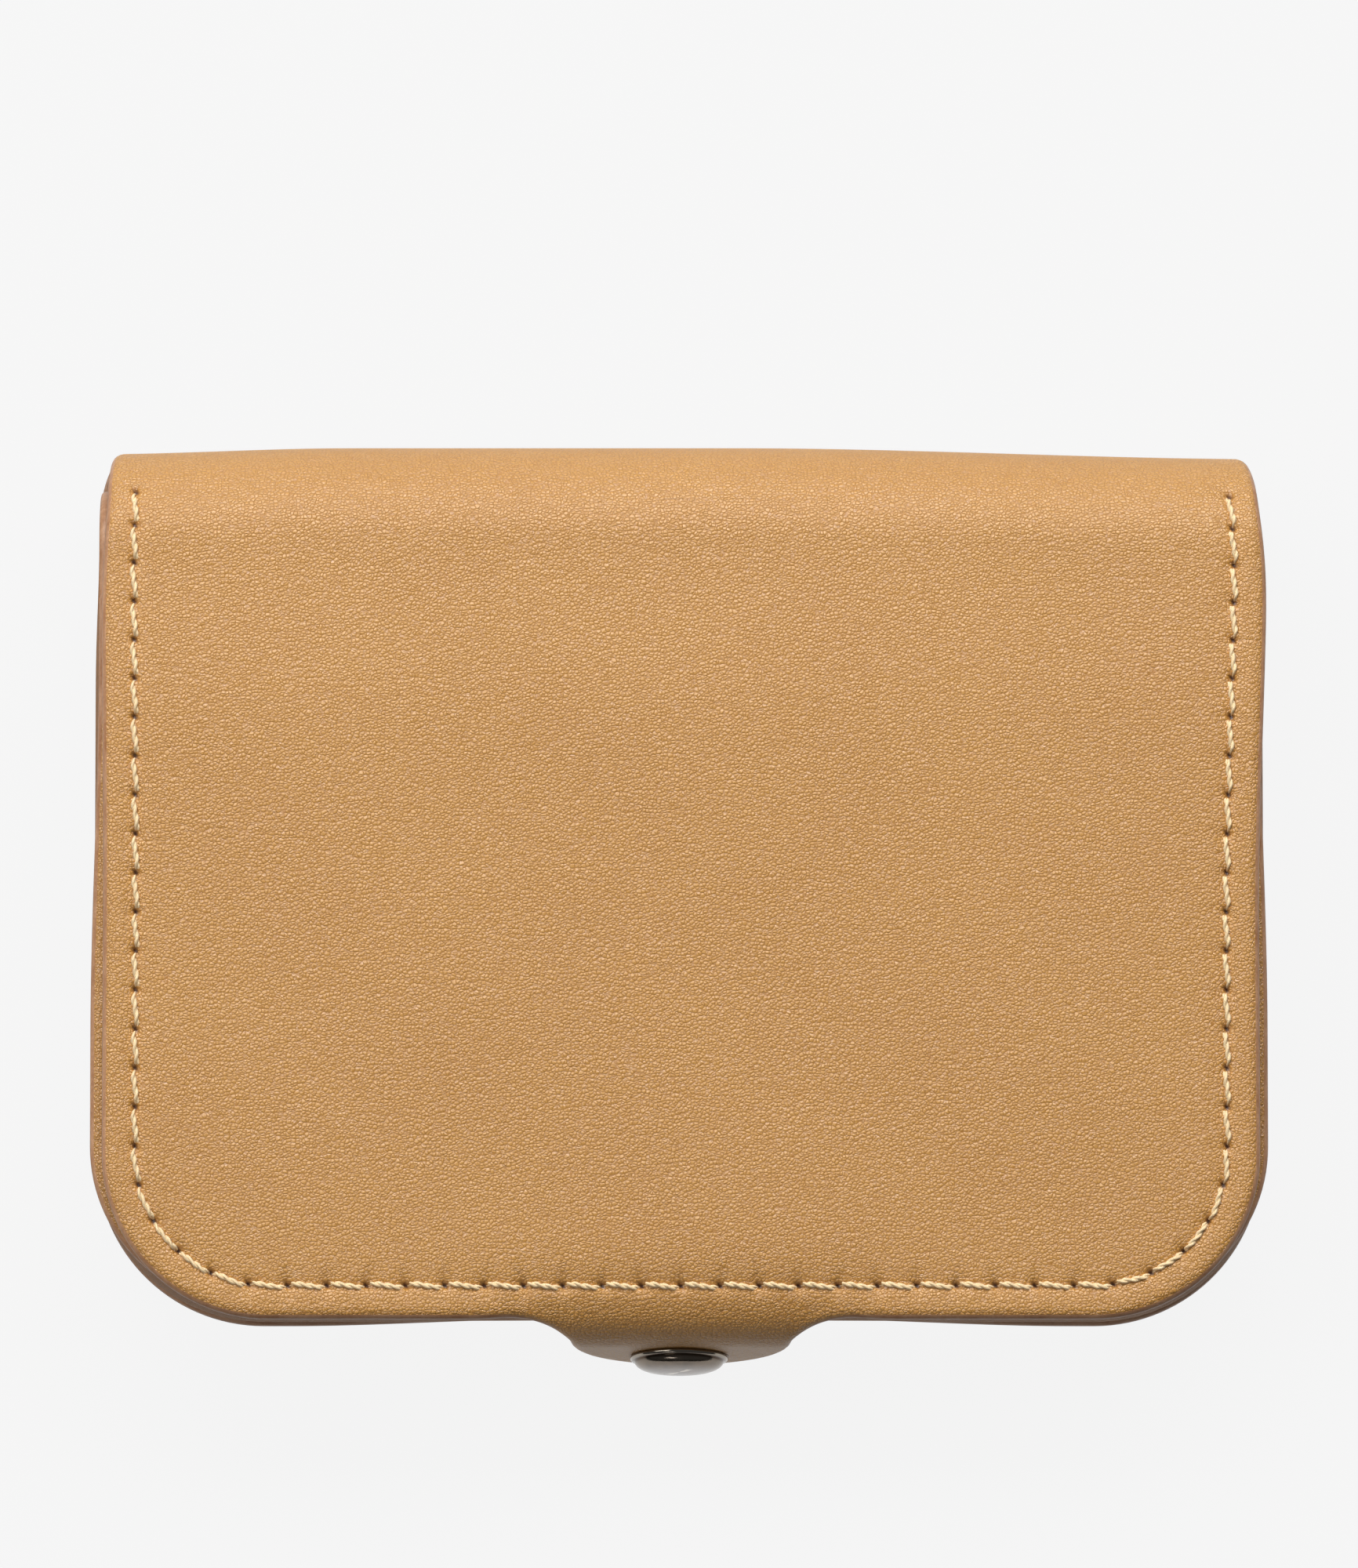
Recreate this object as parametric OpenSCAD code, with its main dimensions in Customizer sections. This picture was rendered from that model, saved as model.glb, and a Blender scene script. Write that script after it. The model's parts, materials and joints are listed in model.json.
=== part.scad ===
// Compact flap wallet that lies on its back. X is its width, +Y runs from the tab to the rolled
// fold, and +Z is the direction that the flap faces. All sizes are in millimetres.

/* [Wallet] */
// Width of the back and front panels
body_w = 120; // [110:1:130]
// Height of the rolled fold's top above the flap's bottom edge
body_h = 90; // [84:1:96]
// Depth of the closed wallet
body_d = 20; // [20:0.5:22]
// Corner radius at the bottom of the back panel
body_r = 18; // [14:1:20]

/* [Flap and tab] */
// Width of the flap
flap_w = 118; // [106:1:118]
// Corner radius at the bottom of the flap
flap_r = 17; // [13:1:19]
// Half width of the tab where it is straight
tab_half_w = 11.3; // [9:0.1:12]
// Half width of the tab's neck at the flap's edge
neck_half_w = 17.5; // [16:0.5:20]
// Radius of the concave shoulders between neck and tab
shoulder_r = 9; // [8:0.5:10]
// Outer radius of the bend between flap and tab
bend_r = 5; // [5:0.1:5.4]
// Angle between the flap and the closed tab
tab_angle = 84; // [82:1:86]

/* [Leather] */
// Thickness of the outer leather
outer_t = 1; // [0.8:0.1:1]
// Thickness of the stiffening sheet inside the flat panels
stiffener_t = 0.3; // [0.2:0.05:0.3]
// Thickness of the lining leather over the stiffener
lining_t = 0.5; // [0.4:0.05:0.5]
// Thickness of the gusset
gusset_t = 1.2; // [1:0.1:1.4]
// Thickness of a gusset flange, where it is pared thin to be sewn
flange_t = 0.6; // [0.5:0.05:0.7]
// Width of a gusset flange
flange_w = 5; // [4:0.5:6]

/* [Stitching] */
// Length from one stitch to the next
stitch_pitch = 4; // [3:0.5:5]
// Length of the thread that shows in one stitch
stitch_len = 3; // [2:0.1:3.4]
// Width of the thread
thread_w = 0.6; // [0.5:0.1:0.8]
// Depth of the groove that the thread lies in
groove_d = 0.3; // [0.2:0.05:0.4]
// Distance from the flap's edge to its stitches
flap_inset = 3.4; // [3:0.1:4]
// Distance from the body's edges to their stitches
body_inset = 2.8; // [2.4:0.1:3.2]

/* [Snap] */
// Radius of the domed cap
cap_r = 5; // [4.5:0.1:5.5]
// Height of the dome over its rim
dome_h = 1.2; // [1:0.1:1.5]
// Distance from the end of the bend to the cap's axis
snap_at = 6; // [5.6:0.1:6.4]

/* [Coin pocket] */
// Width inside the coin pocket, from back wall to front wall
coin_d = 4.2; // [4.1:0.1:4.4]
// Height of the coin pocket's top above the flap's bottom edge
coin_top = 72; // [66:1:73]
// Length from one zip tooth to the next on the same tape
tooth_pitch = 2.2; // [2:0.1:2.6]
// Length of the zip's pull
pull_len = 10; // [7:0.5:10]

/* [Hidden] */
$fn = 96;

// Whole thickness of a lined panel
skin_t = outer_t + stiffener_t + lining_t;
// Rolled fold: radius, centre and the top of the flat panels
roll_r = body_d / 2;
roll_y = body_h - roll_r;
roll_parts = 4;
roll_step = 180 / roll_parts;
roll_gap_a = 0.5;
roll_w = flap_w + 0.6;

// Front panel, gusset and the levels of their bottom edges
flap_gap = 0.4;
front_z = body_d - 2 * skin_t - flap_gap;
gusset_z0 = skin_t;
gusset_z1 = front_z;
gusset_w = body_w - 1.2;
gusset_in_w = gusset_w - 2 * gusset_t;
gusset_r = body_r - 0.6;
back_y0 = 0.7;
gusset_y0 = 1.2;
front_y0 = 1.6;
front_r = body_r - 1;
front_top = body_h - 14;
ear_r = (gusset_z1 - gusset_z0) / 2 - 0.2;
inner_y0 = gusset_y0 + gusset_t;
inner_r = gusset_r - gusset_t;

// Card slots: three stepped panels in front of the back lining
card_t = 0.5;
card_pitch = 0.8;
card_z = gusset_z0 + flange_t + 0.1;
card_top = 66;
card_drop = 8;

// Coin pocket and its zip
coin_t = 0.4;
coin_z1 = gusset_z1 - flange_t - 1.8;
coin_z0 = coin_z1 - coin_d;
coin_mid = (coin_z0 + coin_z1) / 2;
coin_y0 = inner_y0 + 2.6;
tape_t = 0.4;
tape_leg = 8;
tape_edge = 0.3;
tooth_h = 1.5;
tooth_w = 1.05;
tooth_reach = 0.5;
tooth_back = 1.7;
zip_half = 56;
zip_y = coin_top + tape_t;
slider_len = 8;
slider_x = -51;
slider_y = zip_y + tooth_h + 0.2;
slider_half_w = 2.6;
cheek_z = 1.4;
cheek_t = 0.8;
pin_r = 0.5;
pin_y = slider_y + 2;
pull_t = 0.9;
pull_half_w = 2;
knuckle_r = 0.95;
stop_len = 1.6;

// Bend and tab: the centre of the bend, and where the bend starts to turn with the tab
bend_y = 2.5;
bend_z = body_d - bend_r;
bend_start = 30;
bend_gap_a = 0.8;
shoulder_drop = 0.3;
tab_gap = 0.1;
tab_tip_r = tab_half_w;

// Snap: sizes that the cap, socket, stud and rivet share
rim_h = 0.4;
dome_r = (cap_r * cap_r + dome_h * dome_h) / (2 * dome_h);
post_r = 1.2;
post_hole_r = 1.25;
socket_r = 4.4;
socket_hole_r = 2.5;
socket_h = 0.75;
socket_floor = 0.25;
stud_z = bend_z + bend_r * cos(tab_angle) - snap_at * sin(tab_angle) - 0.5;
stud_base_r = 4;
stud_base_h = 0.35;
stud_neck_r = 1.5;
stud_head_r = 2;
stud_head_h = 0.65;
stud_h = 1.5;
rivet_h = 0.5;

// Lowest point of the cap's dome, and the shift that centres the wallet on the origin
cap_low = bend_y - bend_r * sin(tab_angle) - snap_at * cos(tab_angle)
    - (rim_h + dome_h - dome_r) * sin(tab_angle) - dome_r;
mid_y = (body_h + cap_low) / 2;

tan_leather = [0.80, 0.60, 0.35];
tan_lining = [0.76, 0.58, 0.38];
board = [0.55, 0.45, 0.35];
thread = [0.90, 0.80, 0.62];
cloth = [0.60, 0.44, 0.28];
nickel = [0.75, 0.72, 0.68];

// Moves the wallet from the flap's bottom edge to its centre
module placed() {
    translate([0, -mid_y, 0]) children();
}

// Runs a profile drawn in Y and Z along X, centred
module along_x(length) {
    rotate([90, 0, 90])
        linear_extrude(length, center = true)
            children();
}

// Outline of a panel with two round bottom corners
module panel_outline(w, y0, y1, r) {
    translate([-w / 2, y0 + r]) square([w, y1 - y0 - r]);
    translate([-w / 2 + r, y0]) square([w - 2 * r, y1 - y0]);
    for (side = [-1, 1])
        translate([side * (w / 2 - r), y0 + r]) circle(r);
}

module panel(w, y0, y1, r, z, t) {
    translate([0, 0, z])
        linear_extrude(t)
            panel_outline(w, y0, y1, r);
}

// Shallow channel for a row of stitches, following a panel's sides and bottom
module stitch_groove(w, y0, y1, r, inset, z) {
    half = thread_w / 2 + 0.05;
    outer = inset - half;
    inner = inset + half;
    translate([0, 0, z])
        linear_extrude(groove_d)
            difference() {
                panel_outline(w - 2 * outer, y0 + outer, y1, r - outer);
                panel_outline(w - 2 * inner, y0 + inner, y1 + 1, r - inner);
            }
}

// Point and direction at distance s along a row that starts at the left top and ends at the right top:
// [x, y, heading]
function row_point(s, half, y0, y1, r) =
    let (side = y1 - y0 - r, corner = PI * r / 2, bottom = 2 * (half - r))
    s < side ? [-half, y1 - s, -90] :
    s < side + corner ?
        let (a = (s - side) / r * 180 / PI)
        [-half + r - r * cos(a), y0 + r - r * sin(a), a - 90] :
    s < side + corner + bottom ? [-half + r + s - side - corner, y0, 0] :
    s < side + 2 * corner + bottom ?
        let (a = (s - side - corner - bottom) / r * 180 / PI)
        [half - r + r * sin(a), y0 + r - r * cos(a), a] :
    [half, y0 + r + s - side - 2 * corner - bottom, 90];

// Row of stitches along a panel's sides and bottom
module stitch_row(w, y0, y1, r, inset, z) {
    half = w / 2 - inset;
    low = y0 + inset;
    radius = r - inset;
    total = 2 * (y1 - low - radius) + PI * radius + 2 * (half - radius);
    count = floor((total - 1) / stitch_pitch);
    first = (total - (count - 1) * stitch_pitch) / 2;
    for (i = [0 : count - 1]) {
        p = row_point(first + i * stitch_pitch, half, low, y1, radius);
        translate([p[0], p[1], z])
            rotate([0, 0, p[2]])
                translate([-stitch_len / 2, -thread_w / 2, 0])
                    cube([stitch_len, thread_w, groove_d]);
    }
}

// One lengthwise strip of the rolled fold, from radius r0 to r1; strip 1 meets the back panel
module roll_strip(index, r0, r1) {
    a0 = (index - 1) * roll_step + roll_gap_a;
    a1 = index * roll_step - roll_gap_a;
    far = 2 * roll_r;
    translate([0, roll_y, roll_r])
        along_x(roll_w)
            intersection() {
                difference() {
                    circle(r1);
                    circle(r0);
                }
                polygon([
                    [0, 0],
                    [far * sin(a0), -far * cos(a0)],
                    [far * sin(a1), -far * cos(a1)]
                ]);
            }
}

// Bend between flap and tab, from radius r0 to r1, cut off at the flap's edge and to the tab's
// shoulders
module bend_band(r0, r1) {
    a0 = bend_start + bend_gap_a;
    a1 = tab_angle - bend_gap_a;
    far = 3 * bend_r;
    intersection() {
        translate([0, bend_y, bend_z])
            along_x(2 * neck_half_w)
                intersection() {
                    difference() {
                        circle(r1);
                        circle(r0);
                    }
                    polygon([
                        [0, 0],
                        [-far * sin(a0), far * cos(a0)],
                        [-far * sin(a1), far * cos(a1)]
                    ]);
                }
        translate([0, 0, bend_z - bend_r])
            linear_extrude(3 * bend_r)
                difference() {
                    translate([-neck_half_w, -2 * bend_r])
                        square([2 * neck_half_w, 2 * bend_r - tab_gap]);
                    for (side = [-1, 1])
                        translate([side * neck_half_w, -shoulder_r - shoulder_drop])
                            circle(shoulder_r);
                }
    }
}

// Stands children on the tab: their X stays, +Y runs to the tab's tip, and +Z points into the
// wallet from the tab's outer face
module on_tab() {
    translate([0, bend_y - bend_r * sin(tab_angle), bend_z + bend_r * cos(tab_angle)])
        rotate([tab_angle - 180, 0, 0])
            children();
}

// Straight end of the tab, with a round tip and the hole for the snap's post
module tab_sheet(z, t) {
    on_tab()
        difference() {
            translate([0, 0, z])
                linear_extrude(t)
                    intersection() {
                        circle(tab_tip_r);
                        translate([-tab_half_w, tab_gap])
                            square([2 * tab_half_w, tab_tip_r]);
                    }
            translate([0, snap_at, z - 1]) cylinder(t + 2, r = post_hole_r);
        }
}

// Points children along -Y, out of the bottom gusset at the stud's place
module on_stud() {
    translate([0, gusset_y0, stud_z]) rotate([90, 0, 0]) children();
}

module back_outer() {
    color(tan_leather) placed()
        difference() {
            panel(body_w, back_y0, roll_y, body_r, 0, outer_t);
            stitch_groove(body_w, back_y0, roll_y, body_r, body_inset, 0);
        }
}

module back_stiffener() {
    color(board) placed()
        panel(body_w - 2, back_y0 + 1, roll_y - 1, body_r - 1, outer_t, stiffener_t);
}

module back_lining() {
    color(tan_lining) placed()
        panel(body_w, back_y0, roll_y, body_r, outer_t + stiffener_t, lining_t);
}

module back_thread() {
    color(thread) placed()
        stitch_row(body_w, back_y0, roll_y, body_r, body_inset, 0);
}

// Walls of the gusset down both sides and along the bottom, with flanges to sew to both panels and
// a round ear at each end of the rolled fold
module gusset() {
    depth = gusset_z1 - gusset_z0;
    flange_in = gusset_w - 2 * flange_w;
    color(tan_leather) placed()
        difference() {
            union() {
                translate([0, 0, gusset_z0])
                    linear_extrude(depth)
                        difference() {
                            panel_outline(gusset_w, gusset_y0, roll_y, gusset_r);
                            panel_outline(gusset_in_w, inner_y0, roll_y + 1, inner_r);
                        }
                for (z = [gusset_z0, gusset_z1 - flange_t])
                    translate([0, 0, z])
                        linear_extrude(flange_t)
                            difference() {
                                panel_outline(gusset_w, gusset_y0, front_top, gusset_r);
                                panel_outline(
                                    flange_in, gusset_y0 + flange_w, front_top + 1,
                                    gusset_r - flange_w
                                );
                            }
                for (side = [-1, 1])
                    translate([side * (gusset_w - gusset_t) / 2, roll_y, gusset_z0 + depth / 2])
                        along_x(gusset_t)
                            intersection() {
                                circle(ear_r);
                                translate([-1, -ear_r]) square([ear_r + 1, 2 * ear_r]);
                            }
            }
            on_stud() translate([0, 0, -2 * gusset_t]) cylinder(4 * gusset_t, r = post_hole_r);
        }
}

module front_outer() {
    color(tan_leather) placed()
        difference() {
            panel(body_w, front_y0, front_top, front_r, front_z + skin_t - outer_t, outer_t);
            stitch_groove(
                body_w, front_y0, front_top, front_r, body_inset, front_z + skin_t - groove_d
            );
        }
}

module front_stiffener() {
    color(board) placed()
        panel(body_w - 2, front_y0 + 1, front_top - 1, front_r - 1, front_z + lining_t, stiffener_t);
}

module front_lining() {
    color(tan_lining) placed()
        panel(body_w, front_y0, front_top, front_r, front_z, lining_t);
}

module front_thread() {
    color(thread) placed()
        stitch_row(
            body_w, front_y0, front_top, front_r, body_inset, front_z + skin_t - groove_d
        );
}

// Card slot panels, numbered from the back: each is one step lower than the one behind it
module card_slot(index) {
    color(tan_lining) placed()
        panel(
            gusset_in_w, inner_y0, card_top - index * card_drop, inner_r,
            card_z + index * card_pitch, card_t
        );
}

// A wall of the coin pocket, whose back face is at height z; its bottom clears the stud's rivet
module coin_wall(z) {
    color(cloth) placed()
        panel(gusset_in_w, coin_y0, coin_top, inner_r, z, coin_t);
}

module coin_pocket_floor() {
    half = gusset_in_w / 2 - inner_r;
    color(cloth) placed()
        translate([-half, coin_y0, coin_z0]) cube([2 * half, coin_t, coin_d]);
}

// Zip tape: it runs down inside a coin pocket wall and turns in over the top; side is -1 at the
// back and 1 at the front
module zip_tape(side) {
    wall = side * coin_d / 2;
    edge = side * tape_edge;
    color(cloth) placed()
        translate([0, 0, coin_mid])
            along_x(2 * zip_half)
                polygon([
                    [coin_top - tape_leg, wall],
                    [zip_y, wall],
                    [zip_y, edge],
                    [coin_top, edge],
                    [coin_top, wall - side * tape_t],
                    [coin_top - tape_leg, wall - side * tape_t]
                ]);
}

// Zip teeth on one tape; the front row is half a pitch along, so that the rows mesh
module zip_teeth(side) {
    count = floor((2 * zip_half - 2 * stop_len - 2) / tooth_pitch);
    x0 = -count * tooth_pitch / 2 + (side > 0 ? tooth_pitch / 2 : 0);
    low = side > 0 ? -tooth_reach : -tooth_back;
    color(nickel) placed()
        for (i = [0 : count - 1])
            translate([x0 + i * tooth_pitch - tooth_w / 2, zip_y, coin_mid + low])
                cube([tooth_w, tooth_h, tooth_back + tooth_reach]);
}

module zip_end_stops() {
    color(nickel) placed()
        for (side = [-1, 1])
            translate([side * (zip_half - stop_len / 2) - stop_len / 2, zip_y, coin_mid - tooth_back])
                cube([stop_len, tooth_h, 2 * tooth_back]);
}

// Slider: a plate over the teeth with a lip down each side, and two cheeks that hold the pull's pin
module zip_slider() {
    lip_t = 0.5;
    lip_h = tooth_h;
    color(nickel) placed()
        translate([slider_x, slider_y, coin_mid]) {
            translate([-slider_len / 2, 0, -slider_half_w])
                cube([slider_len, 1, 2 * slider_half_w]);
            for (side = [-1, 1])
                translate([-slider_len / 2, -lip_h, side * (slider_half_w - lip_t / 2) - lip_t / 2])
                    cube([slider_len, lip_h, lip_t]);
            for (side = [-1, 1])
                translate([0, 0, side * (cheek_z + cheek_t / 2) - cheek_t / 2]) {
                    translate([-1, 0.5, 0]) cube([2, pin_y - slider_y - 0.5, cheek_t]);
                    translate([0, pin_y - slider_y, 0]) cylinder(cheek_t, r = 1);
                }
            translate([0, pin_y - slider_y, -cheek_z - cheek_t / 2])
                cylinder(2 * cheek_z + cheek_t, r = pin_r);
        }
}

// Pull: a knuckle round the slider's pin and a flat tongue with a round end
module zip_pull() {
    knuckle_w = 2 * cheek_z - 0.2;
    hole_r = pin_r + 0.06;
    color(nickel) placed()
        translate([slider_x, pin_y, coin_mid])
            difference() {
                union() {
                    translate([0, 0, -knuckle_w / 2]) cylinder(knuckle_w, r = knuckle_r);
                    translate([0, -pull_t / 2, -knuckle_w / 2]) cube([3, pull_t, knuckle_w]);
                    translate([2, pull_t / 2, 0])
                        rotate([90, 0, 0])
                            linear_extrude(pull_t)
                                union() {
                                    translate([0, -pull_half_w])
                                        square([pull_len - 2 - pull_half_w, 2 * pull_half_w]);
                                    translate([pull_len - 2 - pull_half_w, 0]) circle(pull_half_w);
                                }
                }
                translate([0, 0, -knuckle_w]) cylinder(2 * knuckle_w, r = hole_r);
            }
}

module snap_stud() {
    color(nickel) placed()
        on_stud() {
            cylinder(stud_base_h, r = stud_base_r);
            cylinder(stud_h, r = stud_neck_r);
            translate([0, 0, stud_h - stud_head_h]) cylinder(stud_head_h, r = stud_head_r);
            translate([0, 0, -gusset_t]) cylinder(gusset_t, r = post_r);
        }
}

module snap_stud_rivet() {
    color(nickel) placed()
        on_stud() translate([0, 0, -gusset_t - rivet_h]) cylinder(rivet_h, r = stud_base_r);
}

module roll_outer(index) {
    color(tan_leather) placed() roll_strip(index, roll_r - outer_t, roll_r);
}

module roll_lining(index) {
    color(tan_lining) placed() roll_strip(index, roll_r - skin_t, roll_r - outer_t);
}

module flap_outer() {
    color(tan_leather) placed()
        difference() {
            panel(flap_w, 0, roll_y - tab_gap, flap_r, body_d - outer_t, outer_t);
            stitch_groove(flap_w, 0, roll_y, flap_r, flap_inset, body_d - groove_d);
        }
}

module flap_stiffener() {
    color(board) placed()
        panel(
            flap_w - 2, 1, roll_y - 1, flap_r - 1, body_d - outer_t - stiffener_t, stiffener_t
        );
}

module flap_lining() {
    color(tan_lining) placed()
        panel(flap_w, 0, roll_y - tab_gap, flap_r, body_d - skin_t, lining_t);
}

module flap_thread() {
    color(thread) placed()
        stitch_row(flap_w, 0, roll_y - tab_gap, flap_r, flap_inset, body_d - groove_d);
}

module tab_bend_outer() {
    color(tan_leather) placed() bend_band(bend_r - outer_t, bend_r);
}

module tab_bend_lining() {
    color(tan_lining) placed() bend_band(bend_r - skin_t, bend_r - outer_t);
}

module tab_outer() {
    color(tan_leather) placed() tab_sheet(0, outer_t);
}

module tab_lining() {
    color(tan_lining) placed() tab_sheet(outer_t, skin_t - outer_t);
}

// Cap: a shallow dome on a rim, with the post that goes through the tab
module snap_cap() {
    color(nickel) placed()
        on_tab()
            translate([0, snap_at, 0]) {
                translate([0, 0, -rim_h]) cylinder(rim_h, r = cap_r);
                intersection() {
                    translate([0, 0, dome_r - dome_h - rim_h]) sphere(dome_r);
                    translate([0, 0, -rim_h - dome_h]) cylinder(dome_h, r = cap_r);
                }
                cylinder(skin_t, r = post_r);
            }
}

module snap_socket() {
    color(nickel) placed()
        on_tab()
            translate([0, snap_at, skin_t])
                difference() {
                    cylinder(socket_h, r = socket_r);
                    translate([0, 0, socket_floor]) cylinder(socket_h, r = socket_hole_r);
                }
}

back_outer();
back_stiffener();
back_lining();
back_thread();
gusset();
front_outer();
front_stiffener();
front_lining();
front_thread();
card_slot(0);  // card_slot_back
card_slot(1);  // card_slot_middle
card_slot(2);  // card_slot_front
coin_wall(coin_z0 - coin_t);  // coin_pocket_back
coin_wall(coin_z1);  // coin_pocket_front
coin_pocket_floor();
zip_tape(-1);  // zip_tape_back
zip_tape(1);  // zip_tape_front
zip_teeth(-1);  // zip_teeth_back
zip_teeth(1);  // zip_teeth_front
zip_end_stops();
zip_slider();
zip_pull();
snap_stud();
snap_stud_rivet();
roll_outer(1);  // roll_outer_1
roll_outer(2);  // roll_outer_2
roll_outer(3);  // roll_outer_3
roll_outer(4);  // roll_outer_4
roll_lining(1);  // roll_lining_1
roll_lining(2);  // roll_lining_2
roll_lining(3);  // roll_lining_3
roll_lining(4);  // roll_lining_4
flap_outer();
flap_stiffener();
flap_lining();
flap_thread();
tab_bend_outer();
tab_bend_lining();
tab_outer();
tab_lining();
snap_cap();
snap_socket();
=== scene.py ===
"""Compact flap wallet in tan leather: the visual pieces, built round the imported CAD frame.

Sizes are in millimetres in the wallet's own plan: X across, Y up from the flap's bottom edge and
Z up from the back. metres() turns them into the frame's metres.
"""
import json
from math import asin, atan2, ceil, cos, degrees, exp, hypot, pi, radians, sin, sqrt, tau

import bmesh
import bpy
import numpy as np
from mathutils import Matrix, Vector
from mathutils.geometry import delaunay_2d_cdt


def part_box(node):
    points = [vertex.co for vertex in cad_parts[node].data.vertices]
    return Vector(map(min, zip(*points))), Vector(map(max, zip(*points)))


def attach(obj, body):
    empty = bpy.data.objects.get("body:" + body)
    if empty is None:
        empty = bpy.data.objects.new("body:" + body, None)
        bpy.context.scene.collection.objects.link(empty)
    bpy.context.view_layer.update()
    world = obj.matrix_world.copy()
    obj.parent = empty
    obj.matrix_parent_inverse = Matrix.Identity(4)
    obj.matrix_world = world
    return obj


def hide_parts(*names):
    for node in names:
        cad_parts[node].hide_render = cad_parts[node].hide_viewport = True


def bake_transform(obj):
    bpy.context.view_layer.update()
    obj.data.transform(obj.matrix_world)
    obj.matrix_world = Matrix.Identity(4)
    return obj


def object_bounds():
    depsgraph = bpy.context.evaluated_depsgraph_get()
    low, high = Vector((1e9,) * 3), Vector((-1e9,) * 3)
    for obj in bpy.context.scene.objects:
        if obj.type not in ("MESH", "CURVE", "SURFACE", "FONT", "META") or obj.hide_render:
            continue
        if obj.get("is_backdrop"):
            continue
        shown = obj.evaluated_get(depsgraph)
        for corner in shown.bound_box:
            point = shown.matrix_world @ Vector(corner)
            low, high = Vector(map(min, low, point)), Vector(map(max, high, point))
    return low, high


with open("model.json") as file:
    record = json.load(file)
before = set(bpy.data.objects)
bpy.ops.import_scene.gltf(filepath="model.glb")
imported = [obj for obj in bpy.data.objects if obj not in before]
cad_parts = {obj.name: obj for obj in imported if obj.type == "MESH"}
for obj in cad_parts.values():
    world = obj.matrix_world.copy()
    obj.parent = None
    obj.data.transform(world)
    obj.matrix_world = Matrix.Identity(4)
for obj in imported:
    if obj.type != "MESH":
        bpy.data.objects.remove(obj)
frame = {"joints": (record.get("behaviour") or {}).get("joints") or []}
CAD_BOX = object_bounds()
MM = 0.001

# ---------------------------------------------------------------- sizes read from the frame
JOINT_AT = {j["name"]: Vector(j["pos_m"]) for j in frame["joints"] if "pos_m" in j}
FLAP_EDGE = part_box("flap_outer")[0].y


def local(point):
    """A point of the frame in the wallet's own millimetres."""
    return Vector((point[0], point[1] - FLAP_EDGE, point[2])) / MM


def metres(x, y, z):
    """A point of the wallet's own millimetres in the frame."""
    return Vector((x * MM, y * MM + FLAP_EDGE, z * MM))


def box(node):
    """Lowest and highest corner of a CAD node in the wallet's own millimetres."""
    low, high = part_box(node)
    return local(low), local(high)


ROLL_Y = local(JOINT_AT["flap_open"]).y
FLAP_Z = local(JOINT_AT["flap_flatten"]).z
ROLL_R = FLAP_Z / 2
TAB_ROOT = local(JOINT_AT["tab_flatten"])
BACK_LOW = box("back_outer")[0]
FRONT_LOW, FRONT_HIGH = box("front_outer")
GUSSET_LOW, GUSSET_HIGH = box("gusset")
STUD_LOW, STUD_HIGH = box("snap_stud")
SKIN_T = FLAP_Z - box("flap_lining")[0].z
FLAP_HALF = box("flap_outer")[1].x
FRONT_Z = FRONT_HIGH.z

# ---------------------------------------------------------------- sizes that shape the leather
TAB_ANGLE = radians(84)
TAB_TIP_R = 11.3
NECK_HALF = 18.2
BEND_R = 5.5
BACK_R = 17.3
FLAP_R = 17
EDGE_IN = 1.3
STITCH_PITCH = 4.0
FLAP_INSET = 3.4
BODY_INSET = 2.8
THREAD_R = 0.3
TAB_DIMPLE = 0.75
FLAP_DIP = 0.95

# Plan height v: 0 at the flap's bottom edge, rising over the flap, round the roll and down the back
BEND_SHIFT = (BEND_R - (FLAP_Z - TAB_ROOT.z) / (1 - cos(TAB_ANGLE))) * (1 - cos(TAB_ANGLE))
BEND_SHIFT /= sin(TAB_ANGLE)
BEND_V = TAB_ROOT.y + (FLAP_Z - TAB_ROOT.z) / (1 - cos(TAB_ANGLE)) * sin(TAB_ANGLE) + BEND_SHIFT
BEND_Z = FLAP_Z - BEND_R
TAB_V = BEND_V - BEND_R * TAB_ANGLE
TIP_V = TAB_V + BEND_SHIFT - TAB_TIP_R
ROLL_END_V = ROLL_Y + pi * ROLL_R
END_V = ROLL_END_V + ROLL_Y - BACK_LOW.y

# Where the leather is parted: each part crosses one joint
HALF_STRIP = pi * ROLL_R / 8
TAB_CUT = BEND_V - BEND_R * radians(60)
FLAP_CUT = ROLL_Y - 10
STRIP_CUTS = [ROLL_Y + HALF_STRIP * (2 * i + 1) for i in range(4)]
CUTS = [TAB_CUT, FLAP_CUT, *STRIP_CUTS]


def smooth(start, end, x):
    """0 at start, 1 at end and a smooth rise between them."""
    t = min(max((x - start) / (end - start), 0), 1)
    return t * t * (3 - 2 * t)


def through(points, x):
    """Smooth curve through (x, value) points."""
    for (x0, y0), (x1, y1) in zip(points, points[1:]):
        if x <= x1:
            return y0 + (y1 - y0) * smooth(x0, x1, x)
    return points[-1][1]


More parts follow.
